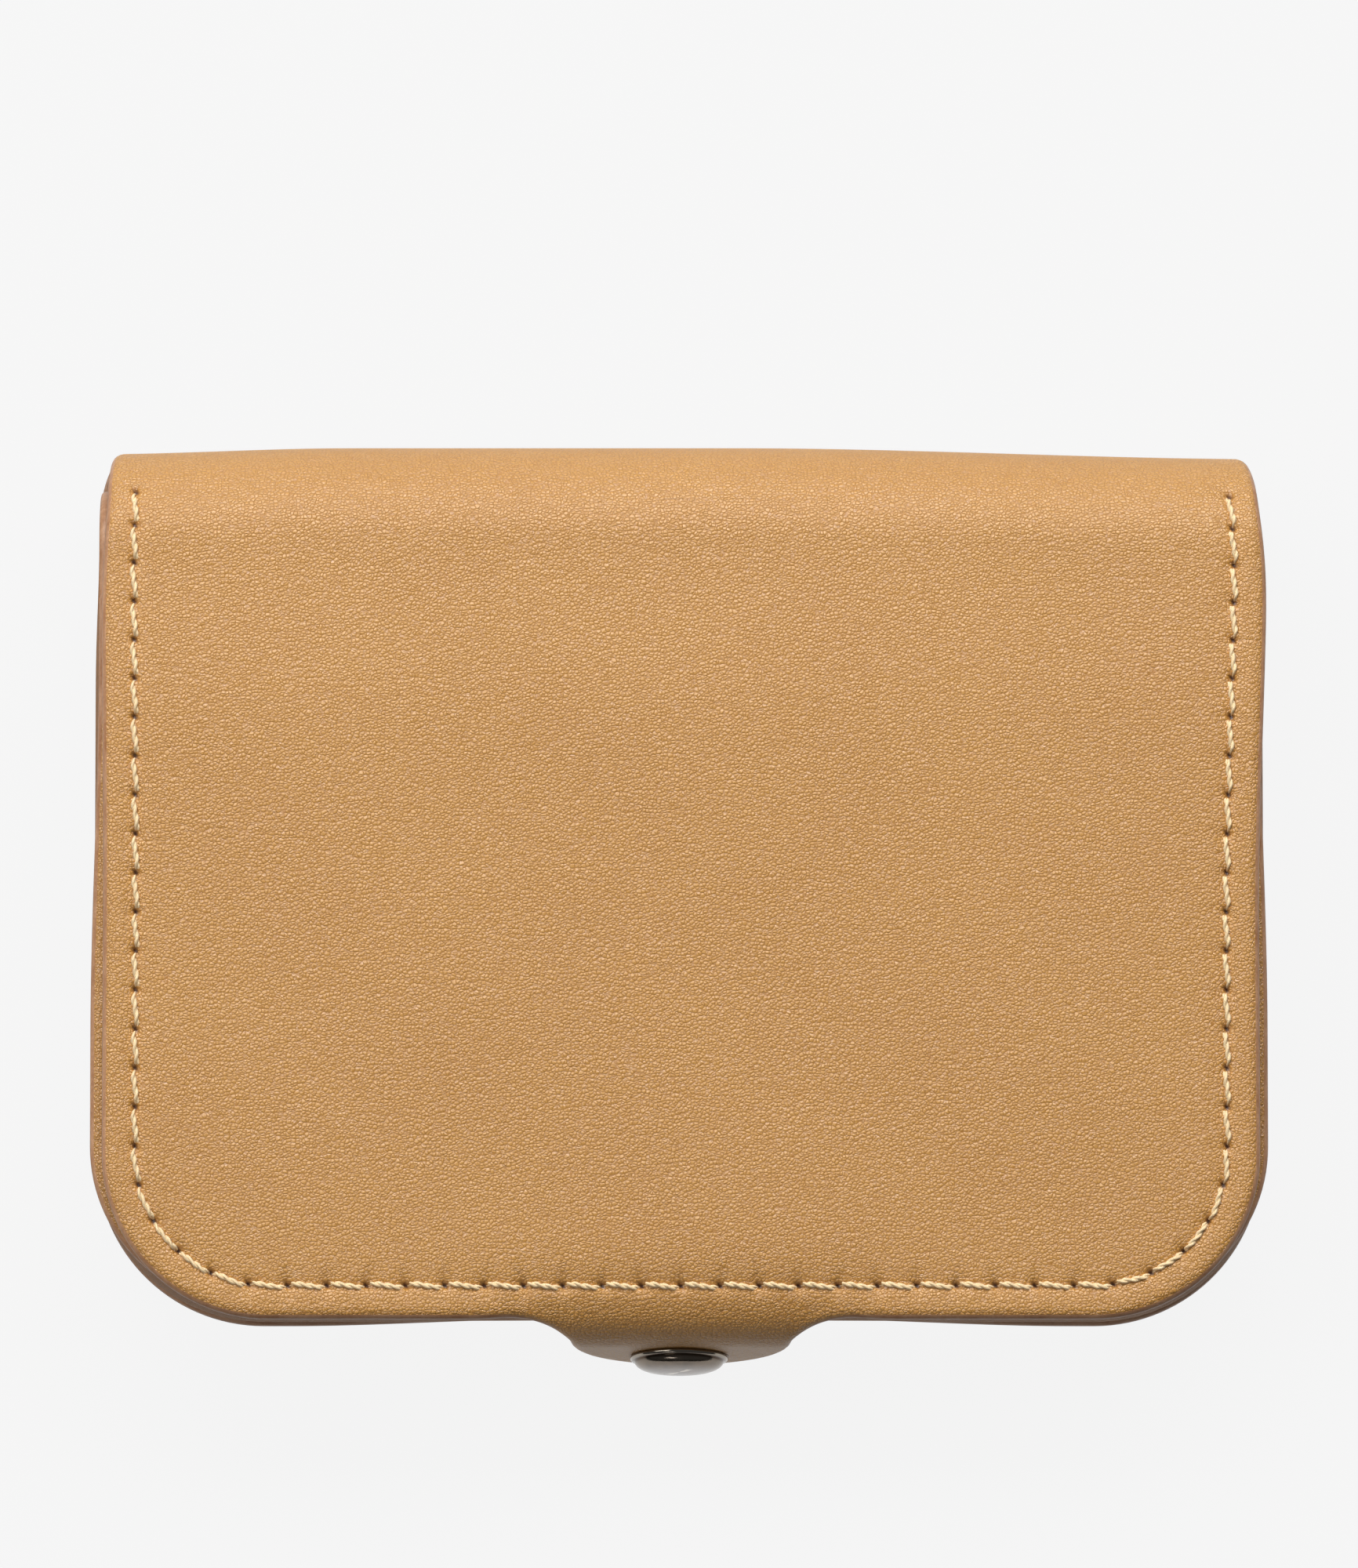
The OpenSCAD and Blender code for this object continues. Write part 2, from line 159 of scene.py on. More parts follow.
# ---------------------------------------------------------------- surfaces
def skin_line(v):
    """Y, Z and outward normal of the main leather's outer face at plan height v."""
    if v > ROLL_END_V:
        return ROLL_Y - (v - ROLL_END_V), 0, 0, -1
    if v > ROLL_Y:
        turn = (v - ROLL_Y) / ROLL_R
        return ROLL_Y + ROLL_R * sin(turn), ROLL_R * (1 + cos(turn)), sin(turn), cos(turn)
    if v > BEND_V:
        return v, FLAP_Z, 0, 1
    turn = min((BEND_V - v) / BEND_R, TAB_ANGLE)
    straight = max(TAB_V - v, 0)
    y = BEND_V - BEND_R * sin(turn) - straight * cos(turn)
    z = BEND_Z + BEND_R * cos(turn) - straight * sin(turn)
    return y, z, -sin(turn), cos(turn)


def top_bow(u):
    """How far the rolled top edge stands proud in the middle and falls away towards the sides."""
    return 0.62 * smooth(-34, -60, u) + 1.15 * smooth(6, 62, u) - 0.55


def side_swell(u, v):
    """How far the flap's sides spread near the roll, more on the right than on the left."""
    near_roll = smooth(ROLL_Y - 40, ROLL_Y, v) * (1 - smooth(ROLL_Y - 4, ROLL_Y + 18, v))
    return near_roll * (1.05 * smooth(40, 58, u) - 0.35 * smooth(-40, -58, u))


def flap_dip(v):
    """How far the flap sinks towards the body just before it rises into the roll."""
    return FLAP_DIP * smooth(60, 84, v) * (1 - smooth(84, 100, v))


def skin(u, v, depth):
    """Point of the main leather, depth under its outer face."""
    y, z, ny, nz = skin_line(v)
    if v < BEND_V:
        flat = smooth(12, 22, abs(u))
        y += (v - y) * flat
        z += (FLAP_Z - z) * flat
        ny, nz = ny * (1 - flat), nz + (1 - nz) * flat
        size = hypot(ny, nz)
        ny, nz = ny / size, nz / size
    z -= TAB_DIMPLE * smooth(7, 0.3, v) * smooth(27, 11, abs(u))
    if v < ROLL_END_V:
        z -= flap_dip(v)
        z += 0.05 * sin(0.11 * u + 0.7) * sin(0.13 * v + 0.4) * smooth(3, 12, v)
    y -= top_bow(u) * smooth(ROLL_Y - 16, ROLL_Y + ROLL_R, y)
    if v > END_V - 20:
        y += 0.75 * smooth(40, 12, abs(u)) * smooth(END_V - 20, END_V - 3, v)
    x = u + 0.2 * smooth(ROLL_END_V - 10, ROLL_Y, v) + side_swell(u, v)
    return metres(x, y - ny * depth, z - nz * depth)


def face_up(z):
    """Flat surface that faces +Z at height z."""
    return lambda u, v, depth: metres(u, v, z - depth)


# ---------------------------------------------------------------- outlines: (u, v) with v rising
def arc(cu, cv, ru, rv, start, end, step):
    """Points on an elliptical arc, angles in degrees."""
    count = max(3, ceil(radians(abs(end - start)) * max(ru, rv) / step))
    turns = [radians(start + (end - start) * i / count) for i in range(count + 1)]
    return [(cu + ru * cos(t), cv + rv * sin(t)) for t in turns]


SKIN_HALF = [
    (FLAP_R, FLAP_HALF), (ROLL_Y - 8, FLAP_HALF - 0.1), (ROLL_Y + 6, FLAP_HALF - 0.5),
    (ROLL_Y + 15.7, FLAP_HALF - 0.8), (ROLL_END_V - 6, FLAP_HALF + 0.7), (ROLL_END_V, 59.8),
    (END_V - BACK_R, 60),
]


def strip_levels(low, high, step):
    """Levels from low to high, close together near both ends so that parts meet smoothly."""
    count = ceil((high - low) / step)
    even = [low + (high - low) * i / count for i in range(1, count)]
    near = [0.1, 0.35]
    return [low, *[low + n for n in near], *even, *[high - n for n in reversed(near)], high]


def skin_levels():
    """Plan heights of the rows of the main leather above the flap's corners."""
    rows = []
    for low, high, step in [
        (FLAP_R, FLAP_CUT, 1.8), (FLAP_CUT, STRIP_CUTS[0], 0.8),
        *[(a, b, 0.8) for a, b in zip(STRIP_CUTS, STRIP_CUTS[1:])],
        (STRIP_CUTS[3], ROLL_END_V + 2, 0.8), (ROLL_END_V + 2, END_V - BACK_R, 2.2),
    ]:
        rows += strip_levels(low, high, step)[:-1]
    return rows


def skin_outline():
    """Right half of the main leather's outline, from the tab's tip to the back's bottom edge."""
    root = TAB_V + BEND_SHIFT
    start = asin(0.55 / TAB_TIP_R)
    tip = arc(0, root, TAB_TIP_R, TAB_TIP_R, -90, -degrees(start), 0.7)
    fall = -(tip[-1][1])
    reach = NECK_HALF - tip[-1][0]
    fillet = arc(NECK_HALF, -fall, reach, fall, 180, 90, 0.35)
    foot = [(u, 0) for u in np.linspace(NECK_HALF, FLAP_HALF - FLAP_R, 18)]
    corner = arc(FLAP_HALF - FLAP_R, FLAP_R, FLAP_R, FLAP_R, -90, 0, 0.9)
    side = [(through(SKIN_HALF, v), v) for v in skin_levels()]
    half = SKIN_HALF[-1][1]
    back = arc(half - BACK_R, END_V - BACK_R, BACK_R, BACK_R, 0, 90, 0.9)
    end = [(u, END_V) for u in np.linspace(half - BACK_R, 0, 24)]
    points = tip[:-1] + fillet[:-1] + foot[:-1] + corner[:-1] + side + back[:-1] + end
    return with_level(points, TAB_CUT)


def with_level(points, level):
    """Adds the point where a rising outline crosses a level."""
    for i, ((u0, v0), (u1, v1)) in enumerate(zip(points, points[1:])):
        if v0 < level < v1:
            share = (level - v0) / (v1 - v0)
            return points[: i + 1] + [(u0 + (u1 - u0) * share, level)] + points[i + 1:]
    return points


def inward(points, closed=False):
    """(u, v, inward normal) at each point of a line that has the sheet on its left."""
    out = []
    count = len(points)
    for i, (u, v) in enumerate(points):
        u0, v0 = points[i - 1] if i or closed else points[i]
        u1, v1 = points[(i + 1) % count] if i < count - 1 or closed else points[i]
        size = hypot(u1 - u0, v1 - v0)
        out.append((u, v, -(v1 - v0) / size, (u1 - u0) / size))
    return out


# ---------------------------------------------------------------- stitch rows
HOLE_LONG = 0.46
HOLE_WIDE = 0.27
HOLE_DEPTH = 0.62

# Offsets from a row at which the sheet has its own points
LANES = (-1.3, -0.8, -0.4, 0, 0.4, 0.8, 1.3)


class Row:
    """Row of stitches down a panel's left side, along its bottom and up its right side."""

    def __init__(self, half, inset, radius, top, base=0, sign=1):
        self.half, self.low, self.radius = half - inset, inset, radius - inset
        self.base, self.sign = base, sign
        self.side = top - self.low - self.radius
        self.corner = pi * self.radius / 2
        self.bottom = 2 * (self.half - self.radius)
        self.total = 2 * (self.side + self.corner) + self.bottom
        self.count = int((self.total - 1) / STITCH_PITCH)
        self.first = (self.total - self.count * STITCH_PITCH) / 2
        self.top = top

    def holes(self):
        """Distances along the row of its needle holes."""
        return [self.first + i * STITCH_PITCH for i in range(self.count + 1)]

    def point(self, along, off):
        """Plan point at a distance along the row and off it, towards the panel's middle."""
        mirror = along > self.total / 2
        a = self.total - along if mirror else along
        cu, ch = self.radius - self.half, self.low + self.radius
        if a < self.side:
            u, h = -self.half + off, self.top - a
        elif a < self.side + self.corner:
            turn = (a - self.side) / self.radius
            u = cu - (self.radius - off) * cos(turn)
            h = ch - (self.radius - off) * sin(turn)
        else:
            u, h = cu + (a - self.side - self.corner), self.low + off
        return (-u if mirror else u), self.base + self.sign * h

    def place(self, u, v):
        """Distance along the row and off it of a plan point."""
        h = (v - self.base) * self.sign
        x, y = self.half - self.radius - abs(u), h - self.low - self.radius
        if y >= 0:
            a, off = self.top - h, x + self.radius
        elif x >= 0:
            a, off = self.side + self.corner + x, y + self.radius
        else:
            a = self.side + self.radius * (pi / 2 - atan2(-x, -y))
            off = self.radius - hypot(x, y)
        return (self.total - a if u > 0 else a), off

    def slant(self, along):
        """Which way the stitches lean: 1 on the two sides, -1 along the bottom."""
        near = min(along, self.total - along)
        return 1 - 2 * smooth(self.side, self.side + self.corner, near)

    def press(self, u, v):
        """How deep the thread has pulled the leather in at a plan point, and how much painted shade its
        needle hole gets.
        """
        a, off = self.place(u, v)
        ends = smooth(self.first - 1.5, self.first, a) * smooth(
            self.total - self.first + 1.5, self.total - self.first, a
        )
        if abs(off) > 3 or not ends:
            return 0, 0
        near = round((a - self.first) / STITCH_PITCH)
        da = a - self.first - min(max(near, 0), self.count) * STITCH_PITCH
        lean = 0.5 * self.slant(a)
        p, q = da * 0.86 + off * lean, -da * lean + off * 0.86
        hole = exp(-((p / HOLE_LONG) ** 2) - (q / HOLE_WIDE) ** 2)
        channel = 0.17 * exp(-((off / 0.5) ** 2)) + 0.05 * exp(-((off / 1.4) ** 2))
        return ends * channel + HOLE_DEPTH * hole, hole

    def guide(self):
        """Plan points that give the sheet its detail round the holes and along the channel."""
        out = []
        for a in self.holes():
            out.append(self.point(a, 0))
            for radius, count in [(0.2, 6), (0.42, 8), (0.75, 10)]:
                for i in range(count):
                    turn = tau * i / count
                    out.append(self.point(a + radius * cos(turn), radius * sin(turn)))
            if a + STITCH_PITCH < self.total - self.first + 1:
                for step in (1.2, 2.0, 2.8):
                    out += [self.point(a + step, off) for off in LANES]
        return out


# ---------------------------------------------------------------- sheet meshes
COLUMN = 2.4
SHOWN_TURNS = (0, 180)
PAINT_FROM = 34
POINT_GAP = 0.12
CUT_MARGIN = 0.35
CUT_SLOT = 3


def within(loop, points, margin):
    """The points that lie inside a loop and further than margin from its sides."""
    if not points:
        return []
    a = np.array(loop)
    span = np.roll(a, -1, axis=0) - a
    p = np.array(points)[:, None, :]
    share = ((p - a) * span).sum(2) / np.maximum((span**2).sum(1), 1e-12)
    gap = np.linalg.norm(p - a - np.clip(share, 0, 1)[..., None] * span, axis=2).min(1)
    low, high = a[:, 1], a[:, 1] + span[:, 1]
    rise = np.where(span[:, 1] == 0, 1, span[:, 1])
    cross = a[:, 0] + span[:, 0] * (p[..., 1] - low) / rise
    odd = (((low > p[..., 1]) != (high > p[..., 1])) & (p[..., 0] < cross)).sum(1) % 2 == 1
    return [q for q, keep in zip(points, odd & (gap > margin)) if keep]


def clear_of(rows, u, v):
    """Whether a plan point keeps away from the fine points round every row."""
    for row in rows:
        along, off = row.place(u, v)
        end = row.first - 1.5
        if abs(off) <= 1.7 and end <= along <= row.total - end:
            return False
    return True


def grid(levels, column, half):
    """Plan points on rows at the given levels, column apart."""
    count = int(half / column)
    return [(i * column, v) for v in levels for i in range(-count, count + 1)]


class Sheet:
    """Mesh of a sheet that is laid out on a flat plan and set on a surface."""

    def __init__(self, surface):
        self.surface = surface
        # self.dark holds the painted shade of the needle holes at each vertex
        self.points, self.plan, self.dark, self.faces, self.slots = [], [], [], [], []

    def vertex(self, u, v, depth, rows=(), sign=1):
        """Adds a vertex; rows of stitches press it in by sign and give it the painted shade of their
        needle holes.
        """
        press = dark = 0
        for row in rows:
            more, shade = row.press(u, v)
            press, dark = press + more, dark + shade
        self.points.append(self.surface(u, v, depth + sign * press))
        self.plan.append((u, v, depth))
        self.dark.append(dark)
        return len(self.points) - 1

    def face(self, ids, slot):
        """Adds a face and the slot of its material."""
        self.faces.append(ids)
        self.slots.append(slot)

    def fill(self, loop, inner, depth, rows, slot, up):
        """Fills a loop of vertices with triangles over the inner plan points."""
        flat = [self.plan[i][:2] for i in loop] + inner
        ids = list(loop) + [self.vertex(u, v, depth, rows, 1 if up else -1) for u, v in inner]
        cells = delaunay_2d_cdt([Vector(p) for p in flat], [], [list(range(len(loop)))], 1, 1e-6)
        source = [ids[original[0]] for original in cells[3]]
        for cell in cells[2]:
            corners = [source[i] for i in cell]
            self.face(corners if up else corners[::-1], slot)

    def edge_ring(self, parts, turn, edge, radius, rows):
        """Vertices of the rounded edge at one turn from the outer face, a list for each part."""
        depth = radius * (1 - cos(radians(turn)))
        push = edge * (1 - sin(radians(turn)))
        sign = 1 if turn < 90 else -1
        return [
            [self.vertex(u + nu * push, v + nv * push, depth, rows, sign) for u, v, nu, nv in part]
            for part in parts
        ]

    def cut_row(self, start, end, rows, column, sign):
        """Vertices along a straight cut between two vertices, finer where a row crosses it."""
        left, level, depth = self.plan[start]
        right = self.plan[end][0]
        at = [i * column for i in range(-60, 61)]
        for row in rows:
            if row.sign * (level - row.base) < row.top + 1:
                for off in LANES:
                    at += [row.half - off, off - row.half]
        low, high = min(left, right) + CUT_MARGIN, max(left, right) - CUT_MARGIN
        lane = sorted({round(u, 4) for u in at if low < u < high})
        lane = [u for i, u in enumerate(lane) if i == 0 or u - lane[i - 1] > POINT_GAP]
        if right < left:
            lane.reverse()
        return [self.vertex(u, level, depth, rows, sign) for u in lane]

    def join_rings(self, rings, turns, closed):
        """Quads of the rounded edge; the painted slot lies between the two faces' slots."""
        for k in range(len(turns) - 1):
            middle = (turns[k] + turns[k + 1]) / 2
            slot = 1 if PAINT_FROM < middle < 180 - PAINT_FROM else (0 if middle < 90 else 2)
            for outer, inner in zip(rings[k], rings[k + 1]):
                pairs = list(zip(range(len(outer) - 1), range(1, len(outer))))
                if closed:
                    pairs.append((len(outer) - 1, 0))
                for i, j in pairs:
                    self.face([outer[j], outer[i], inner[i], inner[j]], slot)

    def cover(self, loop, levels, turn, rows, column, up):
        """Fills the face inside a loop; only a face that shows has stitches and fine points."""
        shape = [self.plan[i][:2] for i in loop]
        half = max(abs(point[0]) for point in shape)
        if turn in SHOWN_TURNS:
            points = within(shape, [p for row in rows for p in row.guide()], POINT_GAP)
            plain = within(shape, grid(levels, column, half), 0.45)
            points += [p for p in plain if clear_of(rows, *p)]
        else:
            points = within(shape, grid(levels[::2], 2 * column, half), 0.6)
            rows = ()
        self.fill(loop, points, self.plan[loop[0]][2], rows, 0 if turn == 0 else 2, up)

    def build(self, parts, levels, turns, edge=EDGE_IN, radius=SKIN_T / 2, rows=(), column=COLUMN,
              closed=False):
        """Builds a sheet from its edge lines; turns are the angles of the edge's round rings.

        parts are lines of (u, v, inward normal) that a straight cut joins to the next. A sheet
        that starts at the outer face has slot 0 on top and slot 2 below; slot 1 is the edge.
        """
        count = len(parts)
        rings = [self.edge_ring(parts, turn, edge, radius, rows) for turn in turns]
        cut_rows = {}
        for k, sign in ((0, 1), (-1, -1)):
            shown_rows = rows if turns[k] in SHOWN_TURNS else ()
            for j in range(0 if closed else count):
                start, end = rings[k][j][-1], rings[k][(j + 1) % count][0]
                cut_rows[k, j] = self.cut_row(start, end, shown_rows, column, sign)
        self.join_rings(rings, turns, closed)
        for k in (0, -1):
            loop = []
            for j, part in enumerate(rings[k]):
                loop += part + cut_rows.get((k, j), [])
            self.cover(loop, levels, turns[k], rows, column, up=k == 0)
        for j in range(0 if closed else count):
            there = (j + 1) % count
            rim = [rings[0][there][0]] + cut_rows[0, j][::-1]
            rim += [ring[j][-1] for ring in rings] + cut_rows[-1, j]
            rim += [ring[there][0] for ring in reversed(rings[1:])]
            self.face(rim, CUT_SLOT)
        return self

    def finish(self, name, materials):
        """Makes the object; the hidden cut ends are flat-shaded."""
        mesh = bpy.data.meshes.new(name)
        mesh.from_pydata(self.points, [], self.faces)
        for material in materials:
            mesh.materials.append(material)
        last = len(materials) - 1
        mesh.polygons.foreach_set("material_index", [min(slot, last) for slot in self.slots])
        mesh.polygons.foreach_set("use_smooth", [slot != CUT_SLOT for slot in self.slots])
        for polygon in mesh.polygons:
            if not polygon.use_smooth:
                for key in polygon.loop_indices:
                    mesh.edges[mesh.loops[key].edge_index].use_edge_sharp = True
        plan = mesh.attributes.new("plan", "FLOAT_VECTOR", "POINT")
        plan.data.foreach_set("vector", [x for p in self.plan for x in p])
        # The 'dark' attribute carries the painted shade of the needle holes into the leather's colour
        dark = mesh.attributes.new("dark", "FLOAT", "POINT")
        dark.data.foreach_set("value", self.dark)
        mesh.update()
        return link(name, mesh)


def link(name, mesh):
    """New object of a mesh in the scene."""
    piece = bpy.data.objects.new(name, mesh)
    bpy.context.scene.collection.objects.link(piece)
    return piece


# ---------------------------------------------------------------- stitches
THREAD_TWISTS = 1.7
THREAD_LEAN = 0.42
STRAND_SHARE = 0.62


def thread_line(row, start, t, phase, strand_r):
    """Where a strand of a stitch is at share t of its length: along, off and depth."""
    turn = tau * THREAD_TWISTS * t + phase
    along = start + STITCH_PITCH * (0.04 + 0.92 * t)
    off = THREAD_LEAN * row.slant(along) * (smooth(0, 1, t) - 0.5) + strand_r * 0.72 * cos(turn)
    dip = 0.1 + 0.66 * abs(2 * t - 1) ** 7
    return along, off, dip - strand_r * 0.72 * sin(turn)


def stitches(name, row, surface, material, face=0, outward=1, keep=None):
    """Twisted two-ply stitches along a row; face is the depth of the face that they lie on."""
    points, faces = [], []
    steps, sides = 14, 6
    strand_r = THREAD_R * STRAND_SHARE
    for start in row.holes()[:-1]:
        if keep and not keep(row.point(start + STITCH_PITCH / 2, 0)[1]):
            continue
        for phase in (0, pi):
            base = len(points)
            for step in range(steps + 1):
                t = step / steps
                along, off, depth = thread_line(row, start, t, phase, strand_r)
                thin = strand_r * (0.62 + 0.38 * smooth(0.5, 0.26, abs(t - 0.5)))
                for side in range(sides):
                    turn = tau * side / sides
                    u, v = row.point(along, off + thin * cos(turn))
                    points.append(surface(u, v, face + outward * (depth - thin * sin(turn))))
            for step in range(steps):
                for side in range(sides):
                    a, b = base + step * sides + side, base + step * sides + (side + 1) % sides
                    faces.append([a, b, b + sides, a + sides])
            faces.append([base + side for side in reversed(range(sides))])
            faces.append([base + steps * sides + side for side in range(sides)])
    mesh = bpy.data.meshes.new(name)
    mesh.from_pydata(points, [], faces)
    mesh.materials.append(material)
    mesh.polygons.foreach_set("use_smooth", [True] * len(faces))
    piece = link(name, mesh)
    face_outward(piece)
    return piece


def face_outward(piece):
    """Turns every face of a closed mesh outwards."""
    form = bmesh.new()
    form.from_mesh(piece.data)
    bmesh.ops.recalc_face_normals(form, faces=form.faces)
    form.to_mesh(piece.data)
    form.free()


# ---------------------------------------------------------------- materials
class Shader:
    """A material whose nodes are made and joined in one call each."""

    def __init__(self, name, flat_plan=False):
        """Patterns lie in the object's own millimetres, or on a sheet's flat plan."""
        self.material = bpy.data.materials.new(name)
        self.material.use_nodes = True
        self.tree = self.material.node_tree
        self.surface = self.tree.nodes["Principled BSDF"]
        if flat_plan:
            self.space = self.node("Attribute", attribute_name="plan").outputs["Vector"]
        else:
            coordinates = self.node("TexCoord").outputs["Object"]
            self.space = self.math("VectorMath", "SCALE", coordinates, scale=1 / MM).outputs[0]

    def node(self, kind, links=None, **settings):
        """Makes a node; links maps its inputs to values or to other nodes' outputs."""
        made = self.tree.nodes.new("ShaderNode" + kind)
        for key, value in settings.items():
            setattr(made, key, value)
        for key, value in (links or {}).items():
            self.join(value, made.inputs[key])
        return made

    def join(self, value, socket):
        if isinstance(value, bpy.types.NodeSocket):
            self.tree.links.new(value, socket)
        else:
            socket.default_value = value

    def math(self, kind, operation, *values, scale=None):
        made = self.node(kind, operation=operation)
        for value, socket in zip(values, made.inputs):
            self.join(value, socket)
        if scale is not None:
            made.inputs["Scale"].default_value = scale
        return made

    def noise(self, scale, detail=3, rough=0.55, space=None):
        links = {"Vector": space or self.space, "Scale": scale, "Detail": detail, "Roughness": rough}
        return self.node("TexNoise", links).outputs["Fac"]

    def cells(self, feature, space, smoothness=0.0):
        links = {"Vector": space, "Scale": CELLS_PER_MM}
        made = self.node("TexVoronoi", links, feature=feature)
        if smoothness:
            made.inputs["Smoothness"].default_value = smoothness
        return made.outputs["Distance"]

    def warped(self, scale, amount):
        """The space with a small noise shift, so that a pattern in it looks natural."""
        shift = self.node("TexNoise", {"Vector": self.space, "Scale": scale, "Detail": 2})
        moved = self.math("VectorMath", "SCALE", shift.outputs["Color"], scale=amount)
        return self.math("VectorMath", "ADD", self.space, moved.outputs[0]).outputs[0]

    def span(self, value, low, high, to_low=0.0, to_high=1.0):
        """Maps the range from low to high onto the range from to_low to to_high."""
        links = {0: value, 1: low, 2: high, 3: to_low, 4: to_high}
        return self.node("MapRange", links).outputs[0]

    def mix(self, share, first, second):
        made = self.node("Mix", data_type="RGBA")
        for value, index in ((share, 0), (first, 6), (second, 7)):
            self.join(value, made.inputs[index])
        return made.outputs[2]

    def sum(self, *parts):
        """Weighted sum of (socket, weight) pairs."""
        total = None
        for value, weight in parts:
            scaled = self.math("Math", "MULTIPLY", value, weight).outputs[0]
            total = scaled if total is None else self.math("Math", "ADD", total, scaled).outputs[0]
        return total

    def bump(self, height, distance):
        links = {"Height": height, "Distance": distance * MM}
        return self.node("Bump", links).outputs["Normal"]

    def set(self, **values):
        """Joins values to the surface shader and returns the finished material."""
        names = {"color": "Base Color", "roughness": "Roughness", "normal": "Normal",
                 "metallic": "Metallic", "specular": "Specular IOR Level",
                 "sheen": "Sheen Weight", "sheen_rough": "Sheen Roughness",
                 "ior": "IOR"}
        for key, value in values.items():
            self.join(value, self.surface.inputs[names[key]])
        return self.material


def rgb(red, green, blue):
    """Linear colour from 0 to 255 display values."""
    return tuple((c / 255 / 12.92) if c <= 10 else ((c / 255 + 0.055) / 1.055) ** 2.4
                 for c in (red, green, blue)) + (1.0,)


CELLS_PER_MM = 2.8
# Colour of the painted shade in the needle holes
HOLE_SHADE_PAINT = rgb(84, 44, 18)
THREAD_DARK = rgb(236, 198, 142)
THREAD_LIGHT = rgb(255, 236, 196)
# Brighter colour of convex metal edges: partly wear, partly a painted highlight
WEAR_AND_HIGHLIGHT_COLOR = rgb(214, 205, 190)


def leather(name, light, dark, grain=0.075, rough=0.42, shine=1.0):
    """Grained leather: pebbled cells, fine pores and broad colour drift; creases coloured darker, partly
    the grain's own tone and partly painted shade; painted shade in the needle holes.
    """
    s = Shader(name, flat_plan=True)
    s.space = s.node("Mapping", {"Vector": s.space, "Scale": (0.94, 1.08, 1.0)}).outputs[0]
    warped = s.warped(1.6, 0.35)
    pebble = s.cells("SMOOTH_F1", warped, 0.35)
    crease = s.cells("DISTANCE_TO_EDGE", warped)
    pores = s.noise(5.5, 3, 0.6)
    broad = s.noise(0.05, 3, 0.5)
    patch = s.noise(0.45, 4, 0.6)
    crease_line = s.span(crease, 0.0, 0.16)
    # The creases between the pebbles pull the colour darker: partly the grain's own tone, partly painted
    # shade in the creases
    drift = s.sum((broad, 0.2), (patch, 0.14), (crease_line, 0.4), (pores, 0.26))
    color = s.mix(s.span(drift, 0.3, 0.8), dark, light)
    # Painted shade in the needle holes, read from the sheet's 'dark' attribute
    hole = s.node("Attribute", attribute_name="dark").outputs["Fac"]
    color = s.mix(s.span(hole, 0.15, 0.85), color, HOLE_SHADE_PAINT)
    height = s.sum((pebble, -1.0), (crease_line, 0.45), (pores, 0.3), (patch, 0.15))
    rough_map = s.span(s.sum((pores, 0.5), (crease_line, -0.3), (patch, 0.4)), -0.1, 0.7,
                       rough + 0.1, rough - 0.08)
    return s.set(color=color, roughness=rough_map, normal=s.bump(height, grain),
                 specular=shine, ior=1.6)


def edge_paint(name, light, dark):
    """Painted and burnished leather edge."""
    s = Shader(name)
    streak = s.node("Mapping", {"Vector": s.space, "Scale": (0.35, 0.35, 2.6)}).outputs[0]
    bands = s.noise(1.0, 4, 0.6, streak)
    fine = s.noise(3.0, 2, 0.5)
    color = s.mix(s.span(s.sum((bands, 0.7), (fine, 0.3)), 0.3, 0.7), dark, light)
    return s.set(color=color, roughness=s.span(fine, 0.3, 0.7, 0.36, 0.52),
                 normal=s.bump(s.sum((bands, 0.7), (fine, 0.4)), 0.05), specular=0.45)


def thread_look(name):
    """Waxed cream thread with fine fibres."""
    s = Shader(name)
    fibre = s.noise(9.0, 4, 0.7)
    color = s.mix(s.span(fibre, 0.3, 0.7), THREAD_DARK, THREAD_LIGHT)
    return s.set(color=color, roughness=0.62, normal=s.bump(fibre, 0.05), sheen=0.2,
                 sheen_rough=0.4)


def cloth_look(name, light, dark, pitch):
    """Plain weave: two crossed sets of threads, pitch apart."""
    s = Shader(name)
    waves = [
        s.node("TexWave", {"Vector": s.space, "Scale": tau / pitch / 20, "Distortion": 0.6,
                           "Detail": 1.0}, bands_direction=axis).outputs["Fac"]
        for axis in ("X", "Y", "Z")
    ]
    weave = s.sum((waves[0], 0.5), (waves[1], 0.5), (waves[2], 0.5))
    drift = s.noise(0.12, 3, 0.6)
    slub = s.noise(1.6, 3, 0.6)
    share = s.sum((weave, 0.35), (drift, 0.4), (slub, 0.25))
    color = s.mix(s.span(share, 0.25, 0.85), dark, light)
    return s.set(color=color, roughness=0.82, normal=s.bump(s.sum((weave, 0.8), (slub, 0.3)), 0.08),
                 sheen=0.15, sheen_rough=0.5)


def metal(name, light, dark, rough):
    """Plated metal with fine polish lines, dull patches and brighter convex edges, partly wear and
    partly a painted highlight.
    """
    s = Shader(name)
    lines = s.node("Mapping", {"Vector": s.space, "Scale": (0.4, 6.0, 6.0)}).outputs[0]
    polish = s.noise(1.5, 3, 0.6, lines)
    patch = s.noise(0.6, 4, 0.6)
    # Convex edges turn brighter: partly wear, partly a painted highlight where the rim catches light
    edge_wear_and_highlight = s.span(s.node("NewGeometry").outputs["Pointiness"], 0.5, 0.58)
    color = s.mix(s.span(patch, 0.35, 0.7), dark, light)
    color = s.mix(s.math("Math", "MULTIPLY", edge_wear_and_highlight, 0.6).outputs[0], color, WEAR_AND_HIGHLIGHT_COLOR)
    blur = s.span(s.sum((polish, 0.5), (patch, 0.5)), 0.3, 0.7, rough - 0.06, rough + 0.1)
    return s.set(color=color, roughness=blur, metallic=1.0, normal=s.bump(polish, 0.006))


